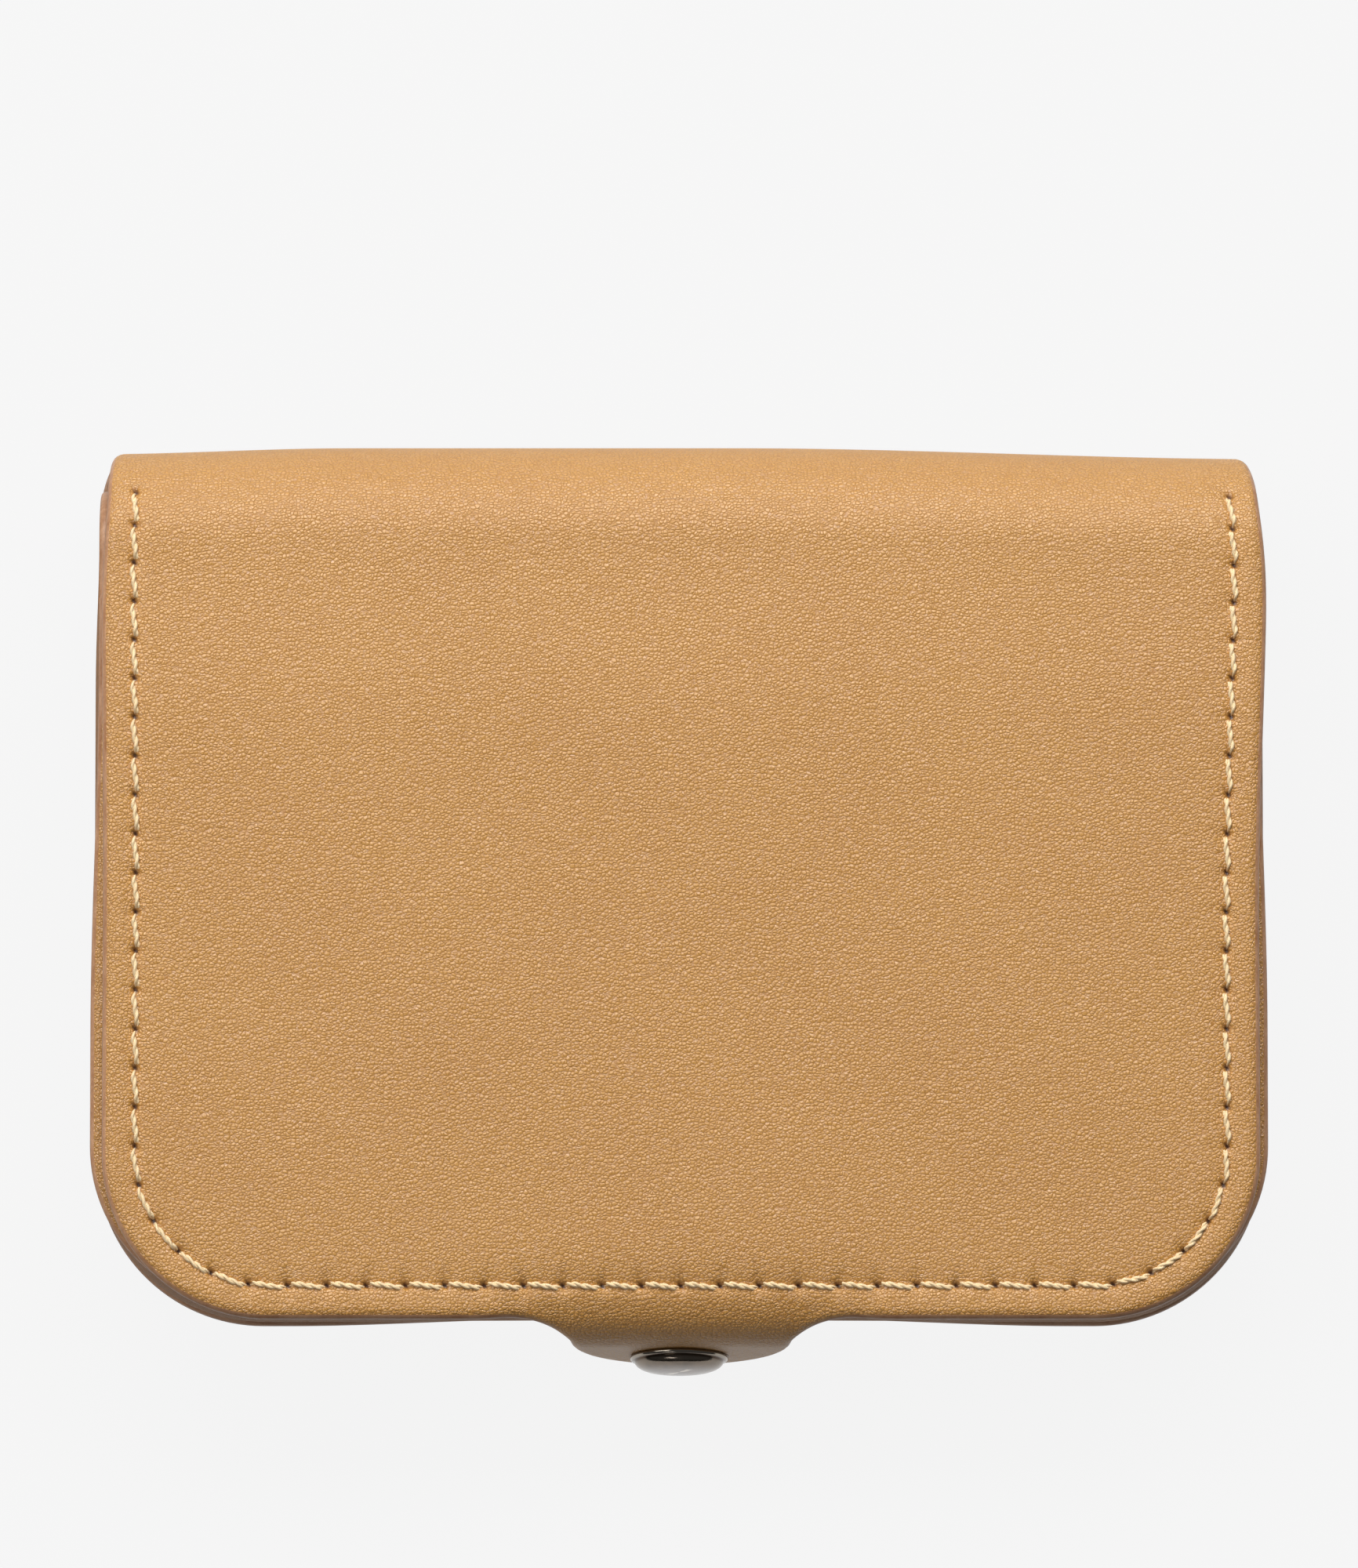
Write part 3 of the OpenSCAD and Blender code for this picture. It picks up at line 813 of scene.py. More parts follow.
TAN = leather("tan_leather", rgb(203, 147, 63), rgb(178, 120, 41))
TAN_INSIDE = leather("tan_lining", rgb(196, 146, 86), rgb(166, 118, 64), grain=0.05, rough=0.55)
# A darker, duller copy of the tan leather for the gusset's wall: painted shade on a wall that faces down
# and sideways, away from the light
TAN_SHADED_SIDE = leather("tan_shaded_side", rgb(182, 128, 72), rgb(146, 98, 50), rough=0.6, shine=0.25)
PAINT = edge_paint("edge_paint", rgb(206, 160, 124), rgb(160, 108, 68))
RAW = edge_paint("raw_edge", rgb(170, 124, 84), rgb(128, 86, 54))
THREAD = thread_look("thread")
POCKET = cloth_look("pocket_cloth", rgb(172, 134, 92), rgb(120, 86, 54), 0.45)
TAPE = cloth_look("zip_tape", rgb(146, 108, 70), rgb(104, 72, 44), 0.6)
NICKEL = metal("nickel", rgb(168, 160, 150), rgb(112, 104, 96), 0.3)
ANTIQUE = metal("antique_nickel", rgb(96, 80, 66), rgb(66, 53, 42), 0.12)

# ---------------------------------------------------------------- main leather: back, roll, flap and tab
OUTER_TURNS = [0, 12, 26, 42, 60, 78, 96.4]
LINING_TURNS = [96.4, 114, 132, 150, 166, 180]
LEATHER_SLOT = {"outer": "tan_leather", "lining": "lining_leather"}
FLAP_ROW = Row(FLAP_HALF, FLAP_INSET, FLAP_R, ROLL_Y + 6.6)
BACK_ROW = Row(SKIN_HALF[-1][1], BODY_INSET, BACK_R, ROLL_Y - 2, END_V, -1)


def skin_edge():
    """Right edge of the main leather with inward normals that are level at the cuts."""
    line = inward(skin_outline())
    out = []
    for u, v, nu, nv in line:
        if abs(u) < 1e-6:
            out.append((0, v, 0, 1 if v < 0 else -1))
            continue
        near = min(smooth(0, 2, abs(v - cut)) for cut in CUTS)
        nu, nv = nu * near - (1 - near), nv * near
        size = hypot(nu, nv)
        out.append((u, v, nu / size, nv / size))
    return out


def mirrored(part):
    """The left half of an edge line that lies on the right."""
    return [(-u, v, -nu, nv) for u, v, nu, nv in reversed(part)]


def skin_part(edge, low, high):
    """Edge lines of the main leather between two plan heights."""
    right = [p for p in edge if low - 1e-6 <= p[1] <= high + 1e-6]
    if right[0][0] == 0:
        return [mirrored(right) + right[1:]]
    if right[-1][0] == 0:
        return [right + mirrored(right)[1:]]
    return [right, mirrored(right)]


def part_levels(low, high):
    """Plan heights of the inner rows of a part, close together where it curves."""
    rows, v = [], low
    while v < high:
        rows.append(v)
        curved = v < 4 or FLAP_CUT - 8 < v < ROLL_END_V + 2
        v += 0.5 if v < 4 else 0.8 if curved else 2.4
    return [r for r in skin_levels() if low < r < high and FLAP_CUT <= r <= ROLL_END_V + 2] + [
        r for r in rows[1:] if not FLAP_CUT <= r <= ROLL_END_V + 2
    ]


def joint_zone(joint, half, way):
    """Two points half a length either side of a joint, along a way."""
    at = JOINT_AT[joint]
    return at - Vector(way).normalized() * half * MM, at + Vector(way).normalized() * half * MM


def roll_zone(joint):
    """Two points one strip apart across a roll's joint, along the roll's own curve."""
    at = local(JOINT_AT[joint])
    ny, nz = (at.y - ROLL_Y) / ROLL_R, (at.z - ROLL_R) / ROLL_R
    return joint_zone(joint, HALF_STRIP, (0, -nz, ny))


def make_skin():
    """Outer leather and lining of every part."""
    edge = skin_edge()
    peel_way = Vector((0, -cos(TAB_ANGLE / 2), -sin(TAB_ANGLE / 2)))
    peel = JOINT_AT["tab_peel"]
    zones = [
        ("tab", "tab_bend", "tab", metres(0, TAB_ROOT.y, TAB_ROOT.z + 0.85),
         metres(0, TAB_ROOT.y, TAB_ROOT.z - 1.2), ["tab_bend", "tab"]),
        ("flap", "flap", "tab_bend", peel + peel_way * 0.8 * MM, peel + peel_way * 2.15 * MM,
         ["flap"]),
    ]
    turning = ["flap_flatten", "roll_flatten_4", "roll_flatten_3", "roll_flatten_2", "flap_open"]
    bodies = ["flap", "roll_4", "roll_3", "roll_2", "roll_1", "wallet_body"]
    for i, joint in enumerate(turning):
        to_flap, to_back = bodies[i], bodies[i + 1]
        start, end = roll_zone(joint)
        stands = f"roll_{4 - i}" if i < 4 else "back"
        zones.append((stands, to_back, to_flap, start, end, [stands]))

    limits = [TIP_V - 1, *CUTS, END_V + 1]
    for (name, before, after, start, end, stands), low, high in zip(zones, limits, limits[1:]):
        parts = skin_part(edge, low, high)
        levels = part_levels(max(low, TIP_V), min(high, END_V))
        rows = [BACK_ROW] if name == "back" else ([] if name == "tab" else [FLAP_ROW])
        for layer, turns, looks in [
            ("outer", OUTER_TURNS, [TAN, PAINT, RAW, RAW]),
            ("lining", LINING_TURNS, [RAW, PAINT, TAN_INSIDE, RAW]),
        ]:
            sheet = Sheet(skin).build(parts, levels, turns, rows=rows)
            piece = sheet.finish(f"{name}_{layer}_leather", looks)
            nodes = [cad_name(node, layer) for node in stands]
            if layer == "lining" and name in ("flap", "back"):
                nodes.append(name + "_stiffener")
            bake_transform(piece)
            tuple(start)
            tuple(end)
            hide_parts(*nodes)
    return zones


def cad_name(stem, layer):
    """Name of the CAD node of a layer; the roll's nodes end in their strip's number."""
    if stem.startswith("roll_"):
        return f"roll_{layer}_{stem[-1]}"
    return f"{stem}_{layer}"


def make_flap_thread(zones):
    """Stitches of the flap on both faces, in one stretch for each part of the leather under it."""
    for name, low, high in [("flap", 0, FLAP_CUT), ("roll_4", FLAP_CUT, STRIP_CUTS[0])]:
        zone = next(z for z in zones if z[0] == name)
        for side, face, outward in (("outer", 0, 1), ("inner", SKIN_T, -1)):
            piece = stitches(f"{name}_stitches_{side}", FLAP_ROW, skin, THREAD, face, outward,
                             lambda v: low <= v < high)
            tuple(zone[3])
            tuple(zone[4])
            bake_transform(piece)
            if name == "flap":
                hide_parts("flap_thread")


zones = make_skin()
make_flap_thread(zones)


# ---------------------------------------------------------------- front panel and body stitches
ROUND_TURNS = [0, 25, 50, 75, 105, 130, 155, 180]
FRONT_TOP = FRONT_HIGH.y
FRONT_R = BACK_R - 1
FRONT_HALF = 60.1
FRONT_CREASE = FRONT_TOP - 2.6
STITCH_ROOM = 0.4
FRONT_ROW = Row(60, BODY_INSET, FRONT_R, FRONT_TOP - FRONT_LOW.y - 2, FRONT_LOW.y)


def even(start, end, step):
    """Values from start to end, about step apart."""
    return list(np.linspace(start, end, ceil(abs(end - start) / step) + 1))


def closed_edge(right):
    """Edge line of a sheet from the right half of its outline, which starts and ends at u = 0."""
    return [inward(right + [(-u, v) for u, v in reversed(right[1:-1])], closed=True)]


def panel_half(half, base, top, radius, corner):
    """Right half of a round-cornered outline; half gives its half width at a height."""
    step = 1.6
    low, high = half(base + radius), half(top - corner)
    foot = [(u, base) for u in even(0, low - radius, step)]
    side = [(half(v), v) for v in even(base + radius, top - corner, step)]
    head = [(u, top) for u in even(high - corner, 0, step)]
    bottom_corner = arc(low - radius, base + radius, radius, radius, -90, 0, 0.9)
    top_corner = arc(high - corner, top - corner, corner, corner, 0, 90, 0.4)
    return foot[:-1] + bottom_corner[:-1] + side[:-1] + top_corner[:-1] + head


def creased(z, crease):
    """Flat surface at height z with a tooled line along one plan height."""
    return lambda u, v, depth: metres(u, v, z - depth - 0.14 * exp(-(((v - crease) / 0.32) ** 2)))


def crease_levels(base, top, crease):
    """Plan heights of a panel's inner rows, close together at its tooled line."""
    rows = [v for v in even(base, top, COLUMN) if abs(v - crease) > 1]
    return sorted(rows + [crease + off for off in (-0.8, -0.45, -0.2, 0, 0.2, 0.45, 0.8)])


def make_front():
    """Front panel of outer leather and lining, with its stitches and a tooled line at its mouth."""
    tooled = creased(FRONT_Z - STITCH_ROOM, FRONT_CREASE)

    def surface(u, v, depth):
        return tooled(u, v, depth) - Vector((0, 0, flap_dip(v) * MM))

    def half_width(v):
        return FRONT_HALF - 0.7 * smooth(30, 66, v)

    half = panel_half(half_width, FRONT_LOW.y, FRONT_TOP, FRONT_R, 2.2)
    levels = crease_levels(FRONT_LOW.y, FRONT_TOP, FRONT_CREASE)
    for layer, turns, looks, nodes in [
        ("outer", OUTER_TURNS, [TAN, PAINT, RAW], ["front_outer"]),
        ("lining", LINING_TURNS, [RAW, PAINT, TAN_INSIDE], ["front_lining", "front_stiffener"]),
    ]:
        sheet = Sheet(surface).build(closed_edge(half), levels, turns, rows=[FRONT_ROW], closed=True)
        piece = sheet.finish(f"front_{layer}_leather", looks)
        settle(piece, "wallet_body", LEATHER_SLOT[layer], *nodes)
    piece = stitches("front_stitches", FRONT_ROW, surface, THREAD)
    settle(piece, "wallet_body", "thread", "front_thread")
    piece = stitches("back_stitches", BACK_ROW, skin, THREAD, face=0.2)
    settle(piece, "wallet_body", "thread", "back_thread")


def settle(piece, body, material_slot, *nodes):
    """The piece rides a body and stands for CAD nodes; its material slot is not used."""
    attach(piece, body)
    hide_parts(*nodes)


# ---------------------------------------------------------------- gusset
GUSSET_R = BACK_R - 0.6
GUSSET_T = 1.2
GUSSET_FOOT = GUSSET_HIGH.x - GUSSET_R
GUSSET_CORNER = GUSSET_R * pi / 2
GUSSET_TOP = GUSSET_FOOT + GUSSET_CORNER + ROLL_Y - GUSSET_LOW.y - GUSSET_R
GUSSET_MID = (GUSSET_LOW.z + GUSSET_HIGH.z) / 2
EAR_R = 6.2
FLANGE_T = 0.6
FLANGE_W = 4


def gusset_line(along):
    """X, Y and outward normal of the gusset's wall, along it from the middle of the bottom."""
    side, a = (1 if along >= 0 else -1), abs(along)
    if a < GUSSET_FOOT:
        x, y, nx, ny = a, GUSSET_LOW.y, 0, -1
    elif a < GUSSET_FOOT + GUSSET_CORNER:
        turn = (a - GUSSET_FOOT) / GUSSET_R
        x, y = GUSSET_FOOT + GUSSET_R * sin(turn), GUSSET_LOW.y + GUSSET_R * (1 - cos(turn))
        nx, ny = sin(turn), -cos(turn)
    else:
        x, y = GUSSET_HIGH.x, GUSSET_LOW.y + GUSSET_R + a - GUSSET_FOOT - GUSSET_CORNER
        nx, ny = 1, 0
    return side * x, y, side * nx, ny


def gusset_wall(u, v, depth):
    """Point of the gusset's wall, which swells outwards between the two panels."""
    x, y, nx, ny = gusset_line(u)
    share = min(max((v - GUSSET_LOW.z) / (GUSSET_HIGH.z - GUSSET_LOW.z), 0), 1)
    reach = smooth(9, 30, abs(u)) * smooth(GUSSET_TOP + EAR_R, GUSSET_TOP - 14, abs(u))
    out = 0.55 * sin(pi * share) * reach - depth
    return metres(x + nx * out, y + ny * out, v)


def open_side(half, inset):
    """Right half of a line that runs inside the gusset, open at the panel's mouth."""
    corner = 0.1
    line = panel_half(lambda v: half, GUSSET_LOW.y + inset, FRONT_TOP, GUSSET_R - inset, corner)
    return [(u, v) for u, v in line if u > 0 and v < FRONT_TOP - corner + 1e-6]


def make_gusset():
    """Gusset wall with rounded ears at its ends, and the two flanges sewn to the panels."""
    low, high = GUSSET_LOW.z, GUSSET_HIGH.z
    right = [(u, low) for u in even(0, GUSSET_TOP, 1.6)][:-1]
    right += arc(GUSSET_TOP, GUSSET_MID, EAR_R, (high - low) / 2, -90, 90, 0.7)[:-1]
    right += [(u, high) for u in even(GUSSET_TOP, 0, 1.6)]
    wall = Sheet(gusset_wall).build(
        closed_edge(right), even(low, high, 1.2), ROUND_TURNS, edge=0.45, radius=GUSSET_T / 2,
        column=1.8, closed=True,
    )
    # The wall's outer face takes the darker copy of the tan leather, which paints shade on it
    piece = wall.finish("gusset_wall", [TAN_SHADED_SIDE, PAINT, TAN_INSIDE])
    settle(piece, "wallet_body", "tan_leather", "gusset")
    outer = GUSSET_HIGH.x - GUSSET_T
    hem, inside = (open_side(outer - width, GUSSET_T + width) for width in (0, FLANGE_W))
    loop = [(-u, v) for u, v in reversed(hem)] + hem
    loop += list(reversed(inside)) + [(-u, v) for u, v in inside]
    for name, z in (("back", low + FLANGE_T), ("front", high)):
        flange = Sheet(face_up(z)).build(
            [inward(loop, closed=True)], even(GUSSET_LOW.y, FRONT_TOP, 1.6), ROUND_TURNS,
            edge=0.2, radius=FLANGE_T / 2, column=1.8, closed=True,
        )
        piece = flange.finish(f"gusset_flange_{name}", [TAN_INSIDE, RAW])
        settle(piece, "wallet_body", "tan_leather", "gusset")


# ---------------------------------------------------------------- card slots and coin pocket
CARD_T = 0.5
POCKET_T = 0.4
POCKET_LOW = box("coin_pocket_floor")[0].y
POCKET_TOP = box("coin_pocket_back")[1].y
POCKET_BACK = box("coin_pocket_back")[0].z
POCKET_FRONT = box("coin_pocket_front")[1].z
POCKET_HALF = box("coin_pocket_back")[1].x
POCKET_MID = (POCKET_BACK + POCKET_FRONT) / 2
POCKET_R = (POCKET_FRONT - POCKET_BACK) / 2
POCKET_BEND = POCKET_R * pi / 2
POCKET_V = POCKET_TOP - POCKET_LOW - POCKET_R + POCKET_BEND
CUT_R = GUSSET_R - GUSSET_T


def make_cards():
    """Three stepped leather card slots, each with a tooled line under its mouth."""
    for place in ("back", "middle", "front"):
        node = f"card_slot_{place}"
        low, high = box(node)
        half = panel_half(lambda v: high.x, low.y, high.y, CUT_R, 1)
        crease = high.y - 1.8
        sheet = Sheet(creased(high.z, crease)).build(
            closed_edge(half), crease_levels(low.y, high.y, crease), ROUND_TURNS, edge=0.2,
            radius=CARD_T / 2, closed=True,
        )
        piece = sheet.finish(f"card_pocket_{place}", [TAN_INSIDE, RAW])
        settle(piece, "wallet_body", "lining_leather", node)


def pocket(u, v, depth):
    """Point of the coin pocket's cloth, folded at the bottom and a little slack."""
    turn = min(max(v / POCKET_R, -pi / 2), pi / 2)
    straight = max(abs(v) - POCKET_BEND, 0)
    y = POCKET_LOW + POCKET_R * (1 - cos(turn)) + straight
    loose = sin(pi * min(straight / (POCKET_V - POCKET_BEND), 1)) * smooth(58, 40, abs(u))
    slack = loose * (0.3 * sin(0.085 * u + 1.1) + 0.12 * sin(0.21 * v))
    z = POCKET_MID + POCKET_R * sin(turn) + slack
    return metres(u, y + cos(turn) * depth, z - sin(turn) * depth)


def pocket_half(v):
    """Half width of the pocket's cloth: its lower corners are cut round like the panels."""
    height = POCKET_R * (1 - cos(min(abs(v) / POCKET_R, pi / 2))) + max(abs(v) - POCKET_BEND, 0)
    rise = max(CUT_R - height, 0)
    return POCKET_HALF - CUT_R + sqrt(CUT_R**2 - rise**2)


def loop_area(loop):
    """Area in square metres inside a closed line of plan points in millimetres."""
    turns = zip(loop, loop[1:] + loop[:1])
    return abs(sum(a[0] * b[1] - b[0] * a[1] for a, b in turns)) / 2 * MM * MM


def make_coin_pocket():
    """Coin pocket of one folded sheet of cloth."""
    side = [(pocket_half(v), v) for v in even(-POCKET_V, POCKET_V, 1.1)]
    right = [(u, -POCKET_V) for u in even(0, POCKET_HALF, 1.6)][:-1] + side[:-1]
    right += [(u, POCKET_V) for u in even(POCKET_HALF, 0, 1.6)]
    edge = closed_edge(right)
    levels = even(-POCKET_V, -6, 2.4) + even(-5, 5, 0.8) + even(6, POCKET_V, 2.4)
    cloth = Sheet(pocket).build(
        edge, levels, ROUND_TURNS, edge=0.15, radius=POCKET_T / 2, closed=True,
    )
    piece = cloth.finish("coin_pocket_cloth", [POCKET])
    settle(piece, "wallet_body", "pocket_cloth", "coin_pocket_back", "coin_pocket_front",
           "coin_pocket_floor")
    loop_area([p[:2] for p in edge[0]])


# ---------------------------------------------------------------- zip
ZIP_HALF = box("zip_tape_back")[1].x
ZIP_TOP = box("zip_tape_back")[1].y
TAPE_T = 0.4
TAPE_BEND = 0.6
TAPE_LOW = box("zip_tape_back")[0].y - 0.6
TAPE_LEG = ZIP_TOP - TAPE_BEND - TAPE_LOW
TAPE_WALL = box("zip_tape_front")[1].z - POCKET_MID
TAPE_GAP = 0.3
TAPE_V = TAPE_LEG + TAPE_BEND * pi / 2 + TAPE_WALL - TAPE_BEND - TAPE_GAP
TOOTH_PITCH = 2.2
TOOTH_HALF = 0.525

# Reach from the tooth's tip line, half width, lowest and highest point of each section
TOOTH_SECTIONS = [
    (-1.7, 0.30, 0.15, 1.2), (-1.5, 0.44, 0.0, 1.42), (-0.7, 0.44, 0.0, 1.5),
    (-0.35, 0.32, 0.0, 1.4), (-0.05, 0.36, 0.0, 1.42), (0.2, 0.52, 0.0, 1.5),
    (0.42, 0.5, 0.06, 1.44), (0.5, 0.36, 0.25, 1.25),
]


def tape(side):
    """Surface of one zip tape: a leg on the pocket's wall that turns in under the teeth."""
    def surface(u, v, depth):
        turn = min(max((v - TAPE_LEG) / TAPE_BEND, 0), pi / 2)
        over = max(v - TAPE_LEG - TAPE_BEND * pi / 2, 0)
        y = TAPE_LOW + min(v, TAPE_LEG) + TAPE_BEND * sin(turn)
        reach = TAPE_WALL - TAPE_BEND * (1 - cos(turn)) - over
        z = POCKET_MID + side * (reach - cos(turn) * depth)
        return metres(side * u, y - sin(turn) * depth, z)
    return surface


def loft(rings):
    """Points and faces of a solid through rings of equal length, closed at both ends."""
    count = len(rings[0])
    points = [p for ring in rings for p in ring]
    faces = [
        [r * count + i, r * count + (i + 1) % count, (r + 1) * count + (i + 1) % count,
         (r + 1) * count + i]
        for r in range(len(rings) - 1) for i in range(count)
    ]
    last = (len(rings) - 1) * count
    return points, faces + [list(range(count)), [last + i for i in range(count)]]


def solid(name, forms, material, split=30):
    """One object from several (points, faces) forms, smooth-shaded up to an angle."""
    points, faces = [], []
    for form_points, form_faces in forms:
        base = len(points)
        points += form_points
        faces += [[base + i for i in face] for face in form_faces]
    mesh = bpy.data.meshes.new(name)
    mesh.from_pydata(points, [], faces)
    mesh.materials.append(material)
    piece = link(name, mesh)
    face_outward(piece)
    mesh.shade_smooth()
    mesh.set_sharp_from_angle(angle=radians(split))
    return piece


def tooth(x, side):
    """One zip tooth: a foot on the tape, a narrow neck and a wider head past the middle."""
    sides, squareness = 12, 0.6
    rings = []
    for reach, half, low, high in TOOTH_SECTIONS:
        middle, rise = (low + high) / 2, (high - low) / 2
        ring = []
        for i in range(sides):
            turn = tau * (i + 0.5) / sides
            across = abs(cos(turn)) ** squareness * (1 if cos(turn) > 0 else -1)
            up = abs(sin(turn)) ** squareness * (1 if sin(turn) > 0 else -1)
            ring.append(metres(x + half * across, ZIP_TOP + middle + rise * up,
                               POCKET_MID - side * reach))
        rings.append(ring)
    return loft(rings)


def make_zip():
    """Tapes, teeth, end stops, slider and pull of the coin pocket's zip."""
    for side, name in ((-1, "back"), (1, "front")):
        half = panel_half(lambda v: ZIP_HALF, 0, TAPE_V, 0.3, 0.3)
        levels = even(0, TAPE_LEG, 1.4) + even(TAPE_LEG + 0.15, TAPE_V, 0.2)
        cloth = Sheet(tape(side)).build(
            closed_edge(half), levels, ROUND_TURNS, edge=0.1, radius=TAPE_T / 2, column=2,
            closed=True,
        )
        piece = cloth.finish(f"zip_cloth_{name}", [TAPE])
        settle(piece, "wallet_body", "zip_tape", f"zip_tape_{name}")
        low, high = box(f"zip_teeth_{name}")
        count = round((high.x - low.x - 2 * TOOTH_HALF) / TOOTH_PITCH) + 1
        teeth = [tooth(low.x + TOOTH_HALF + i * TOOTH_PITCH, side) for i in range(count)]
        row = solid(f"zip_row_{name}", teeth, NICKEL)
        settle(row, "wallet_body", "nickel", f"zip_teeth_{name}")
    for node, body, width in [
        ("zip_end_stops", "wallet_body", 0.3), ("zip_slider", "slider", 0.22),
        ("zip_pull", "pull", 0.2),
    ]:
        settle(softened(node, node + "_metal", width), body, "nickel", node)


SHARP = radians(35)


def softened(node, name, width):
    """Copy of a CAD metal part with rounded edges."""
    source = bpy.data.objects[node]
    mesh = source.data.copy()
    mesh.transform(source.matrix_world)
    form = bmesh.new()
    form.from_mesh(mesh)
    bmesh.ops.remove_doubles(form, verts=form.verts, dist=1e-6)
    bmesh.ops.dissolve_limit(form, angle_limit=radians(4), verts=form.verts, edges=form.edges)
    folds = [e for e in form.edges if len(e.link_faces) == 2]
    corners = [e for e in folds if e.calc_face_angle() > SHARP]
    bmesh.ops.bevel(form, geom=corners, offset=width * MM, segments=3, profile=0.5, affect="EDGES",
                    clamp_overlap=True)
    form.to_mesh(mesh)
    form.free()
    mesh.materials.clear()
    mesh.materials.append(NICKEL)
    mesh.name = name
    mesh.shade_smooth()
    mesh.set_sharp_from_angle(angle=SHARP)
    return link(name, mesh)


# ---------------------------------------------------------------- snap
CAP_AT = 6
LATHE_SIDES = 56
AXIS_R = 0.02

# (radius, height) of the turned metal parts, from their crown to their foot
CAP_PROFILE = [
    (0, 1.6), (1.0, 1.59), (2.0, 1.55), (2.9, 1.46), (3.5, 1.34), (3.95, 1.18), (4.28, 0.98),
    (4.48, 0.76), (4.58, 0.56), (4.64, 0.46), (4.74, 0.44), (4.88, 0.4), (4.98, 0.28),
    (5.0, 0.16), (4.94, 0.02), (4.8, -0.05), (0, -0.05),
]
SOCKET_PROFILE = [
    (0, 0.25), (2.2, 0.25), (2.45, 0.3), (2.5, 0.42), (2.42, 0.55), (2.55, 0.7), (2.8, 0.75),
    (3.5, 0.72), (4.1, 0.5), (4.35, 0.25), (4.4, 0.1), (4.3, -0.05), (0, -0.05),
]
STUD_PROFILE = [
    (0, 1.5), (0.7, 1.49), (1.5, 1.44), (1.85, 1.32), (2.0, 1.15), (1.92, 0.97), (1.62, 0.86),
    (1.5, 0.74), (1.5, 0.5), (1.65, 0.4), (2.6, 0.36), (3.6, 0.31), (3.9, 0.2), (4.0, 0.06),
    (3.95, -0.05), (0, -0.05),
]
RIVET_PROFILE = [
    (0, 0.5), (1.5, 0.49), (2.8, 0.42), (3.6, 0.28), (3.95, 0.1), (4.0, 0), (3.95, -0.05),
    (0, -0.05),
]


def lathed(name, profile, foot, way, material):
    """Turned metal part on an axis through foot along way; the profile is (radius, height)."""
    way = way.normalized()
    across = Vector((1, 0, 0))
    third = way.cross(across)
    rings = []
    for radius, height in profile:
        radius = max(radius, AXIS_R)
        centre = foot + way * height
        turns = [tau * i / LATHE_SIDES for i in range(LATHE_SIDES)]
        rings.append([centre + (across * cos(t) + third * sin(t)) * radius for t in turns])
    points, faces = loft([[metres(*p) for p in ring] for ring in rings])
    return solid(name, [(points, faces)], material, 50)


def make_snap():
    """Cap and socket on the tab, stud and rivet on the gusset."""
    along = Vector((0, -cos(TAB_ANGLE), -sin(TAB_ANGLE)))
    out = Vector((0, -sin(TAB_ANGLE), cos(TAB_ANGLE)))
    cap_foot = TAB_ROOT + along * CAP_AT
    stud_foot = Vector((0, GUSSET_LOW.y, (STUD_LOW.z + STUD_HIGH.z) / 2))
    rivet_foot = stud_foot + Vector((0, GUSSET_T, 0))
    down = Vector((0, -1, 0))
    for name, profile, foot, way, body, look in [
        ("snap_cap", CAP_PROFILE, cap_foot, out, "tab", ANTIQUE),
        ("snap_socket", SOCKET_PROFILE, cap_foot - out * SKIN_T, -out, "tab", NICKEL),
        ("snap_stud", STUD_PROFILE, stud_foot, down, "wallet_body", NICKEL),
        ("snap_stud_rivet", RIVET_PROFILE, rivet_foot, -down, "wallet_body", NICKEL),
    ]:
        settle(lathed(name + "_metal", profile, foot, way, look), body, "nickel", name)


make_front()
make_gusset()
make_cards()
make_coin_pocket()
make_zip()
make_snap()


# ---------------------------------------------------------------- floor, light and camera
SENSOR_MM = 36
VIEW_MM = 138.56
DISTANCE = 1600
TILT = radians(6.4)
AIM_V = 54.7
FLOOR_GREY = 246
FLOOR_DIFFUSE = 0.03
FLOOR_LIT = 1.1
TABLE = (-0.3, -0.079, 0.3, 0.3)
FLOOR = (-4, -4, 4, 4)
SKY = 0.1
SKY_LOW = 0.04
HORIZON_LOW = -0.25
HORIZON_HIGH = 0.1
KEY_POWER = 5.6
TOP_POWER = 15
FRONT_POWER = 0.7


def make_floor():
    """Plain table round the wallet, which the leather's edges reflect, on a wide plain floor."""
    material = floor_look()
    for name, (x0, y0, x1, y1), z in [("table", TABLE, -0.00005), ("floor", FLOOR, -0.0002)]:
        mesh = bpy.data.meshes.new(name)
        mesh.from_pydata([(x0, y0, z), (x1, y0, z), (x1, y1, z), (x0, y1, z)], [], [(0, 1, 2, 3)])
        mesh.materials.append(material)
        plane = link(name, mesh)
        plane.visible_diffuse = False
        plane.visible_glossy = name == "table"
        plane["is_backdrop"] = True


def floor_look():
    """Even pale floor that glows a little, so that it stays plain and takes a faint shadow."""
    material = bpy.data.materials.new("floor")
    material.use_nodes = True
    shader = material.node_tree.nodes["Principled BSDF"]
    grey = rgb(FLOOR_GREY, FLOOR_GREY, FLOOR_GREY)[0]
    shader.inputs["Base Color"].default_value = (FLOOR_DIFFUSE,) * 3 + (1,)
    shader.inputs["Roughness"].default_value = 0.9
    shader.inputs["Specular IOR Level"].default_value = 0
    shader.inputs["Emission Color"].default_value = (1, 1, 1, 1)
    shader.inputs["Emission Strength"].default_value = grey - FLOOR_DIFFUSE * FLOOR_LIT
    return material


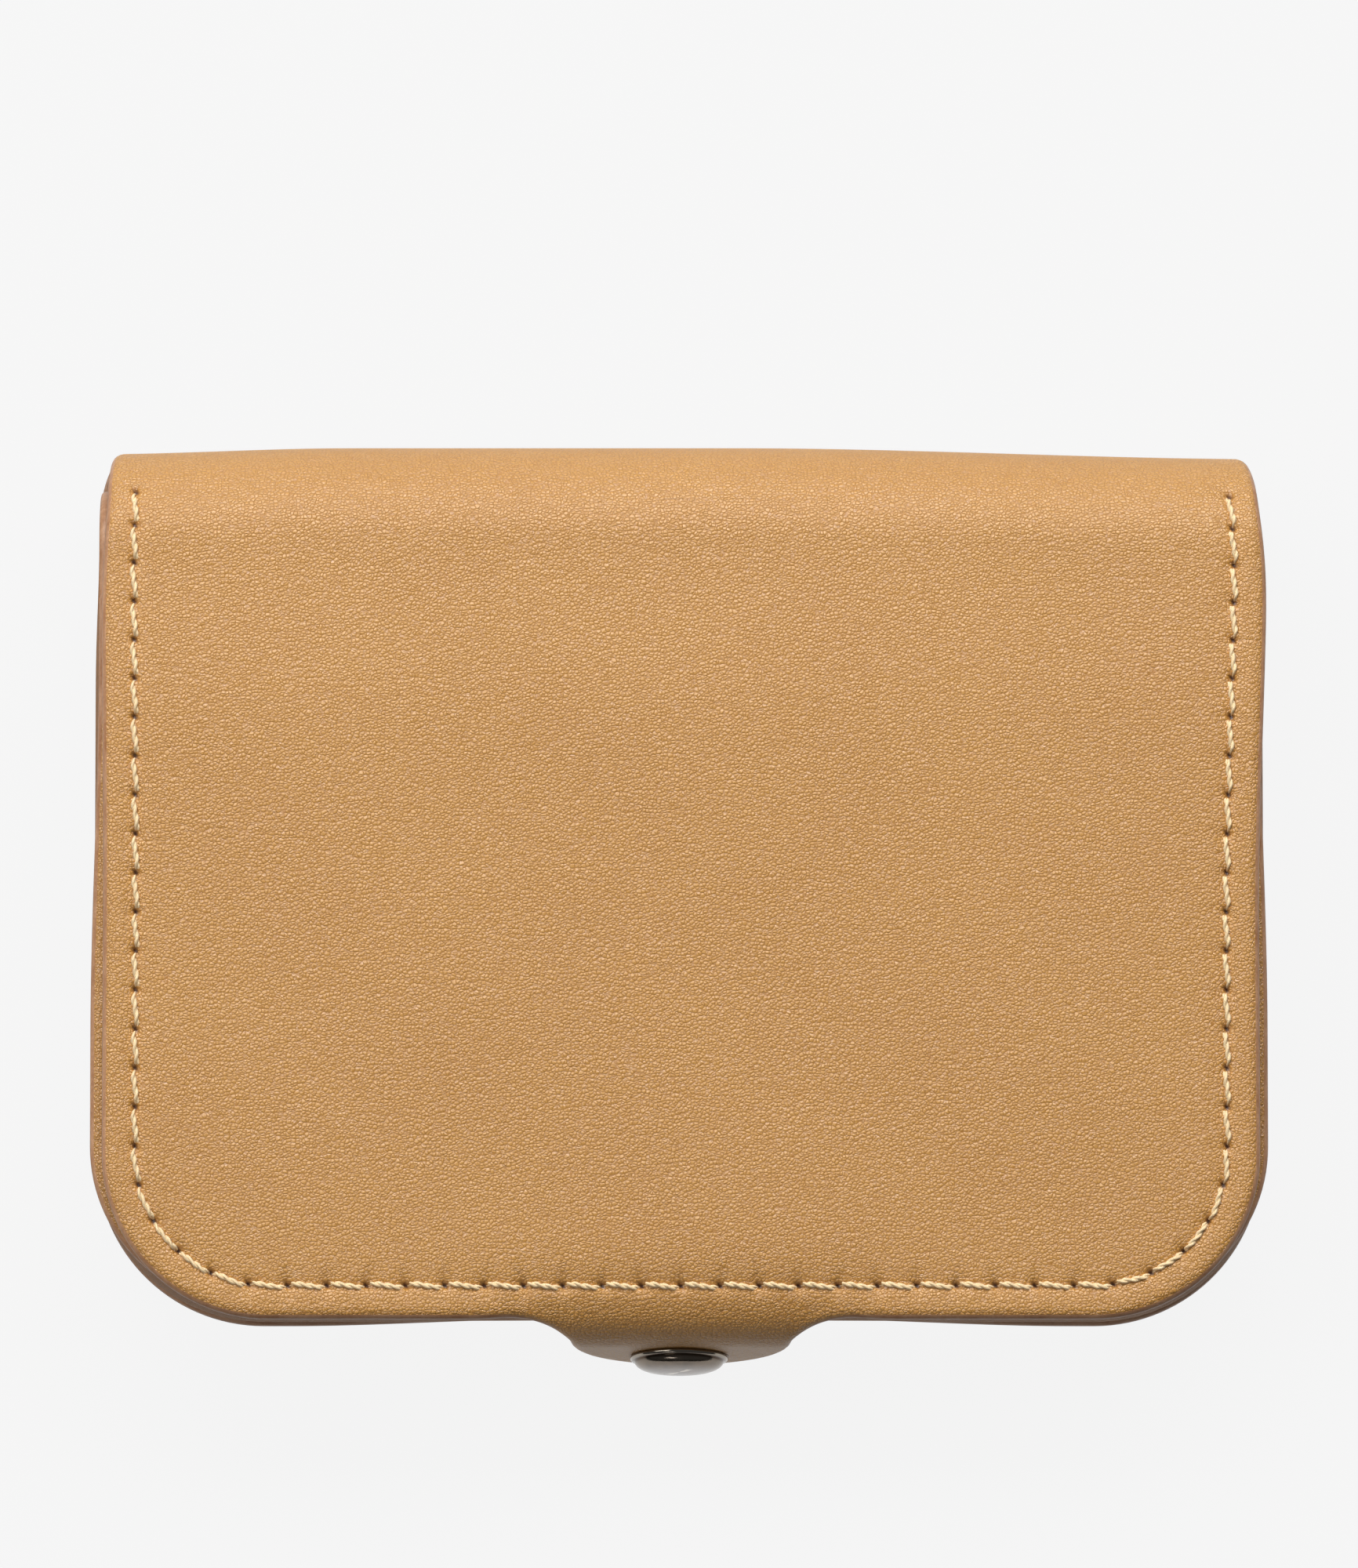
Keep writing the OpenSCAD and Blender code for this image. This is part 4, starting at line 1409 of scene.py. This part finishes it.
def area_light(name, place, aim, size, power, color=(1, 1, 1)):
    """Rectangular soft light at a place, turned towards its aim."""
    data = bpy.data.lights.new(name, "AREA")
    data.shape, data.size, data.size_y = "RECTANGLE", size[0], size[1]
    data.energy = power
    data.color = color
    lamp = bpy.data.objects.new(name, data)
    lamp.location = place
    lamp.rotation_euler = (Vector(aim) - Vector(place)).to_track_quat("-Z", "Y").to_euler()
    bpy.context.scene.collection.objects.link(lamp)


def make_light():
    """Dim sky that fades below the horizon, a key light, a light over the roll and a front fill."""
    world = bpy.data.worlds.new("studio")
    bpy.context.scene.world = world
    world.use_nodes = True
    tree = world.node_tree
    back = tree.nodes["Background"]
    back.inputs["Color"].default_value = (1, 1, 1, 1)
    direction = tree.nodes.new("ShaderNodeTexCoord").outputs["Generated"]
    split = tree.nodes.new("ShaderNodeSeparateXYZ")
    tree.links.new(direction, split.inputs[0])
    ramp = tree.nodes.new("ShaderNodeMapRange")
    for value, index in ((HORIZON_LOW, 1), (HORIZON_HIGH, 2), (SKY_LOW, 3), (SKY, 4)):
        ramp.inputs[index].default_value = value
    tree.links.new(split.outputs["Z"], ramp.inputs[0])
    tree.links.new(ramp.outputs[0], back.inputs["Strength"])
    middle = metres(0, 45, 10)
    area_light("key", (-0.85, 0.18, 1.05), middle, (0.8, 0.8), KEY_POWER, (1.0, 0.99, 0.97))
    area_light("top", (0.0, 0.72, 0.74), metres(0, 80, 20), (1.5, 0.45), TOP_POWER)
    area_light("front", (-0.32, -1.2, 0.42), middle, (0.35, 0.2), FRONT_POWER)


def make_camera():
    """Long-lens camera over the flap, tilted a little towards the tab."""
    data = bpy.data.cameras.new("camera")
    data.sensor_fit = "HORIZONTAL"
    data.sensor_width = SENSOR_MM
    data.lens = DISTANCE * SENSOR_MM / VIEW_MM
    data.clip_start, data.clip_end = 0.1, 20
    camera = bpy.data.objects.new("camera", data)
    aim = metres(0, AIM_V, FLAP_Z)
    camera.location = aim + Vector((0, -sin(TILT), cos(TILT))) * DISTANCE * MM
    camera.rotation_euler = (aim - camera.location).to_track_quat("-Z", "Y").to_euler()
    bpy.context.scene.collection.objects.link(camera)
    bpy.context.scene.camera = camera


make_floor()
make_light()
make_camera()
bpy.context.scene.view_settings.view_transform = "Standard"
boxes = {"cad": CAD_BOX, "visual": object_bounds()}
{k: [list(corner) for corner in b] for k, b in boxes.items()}
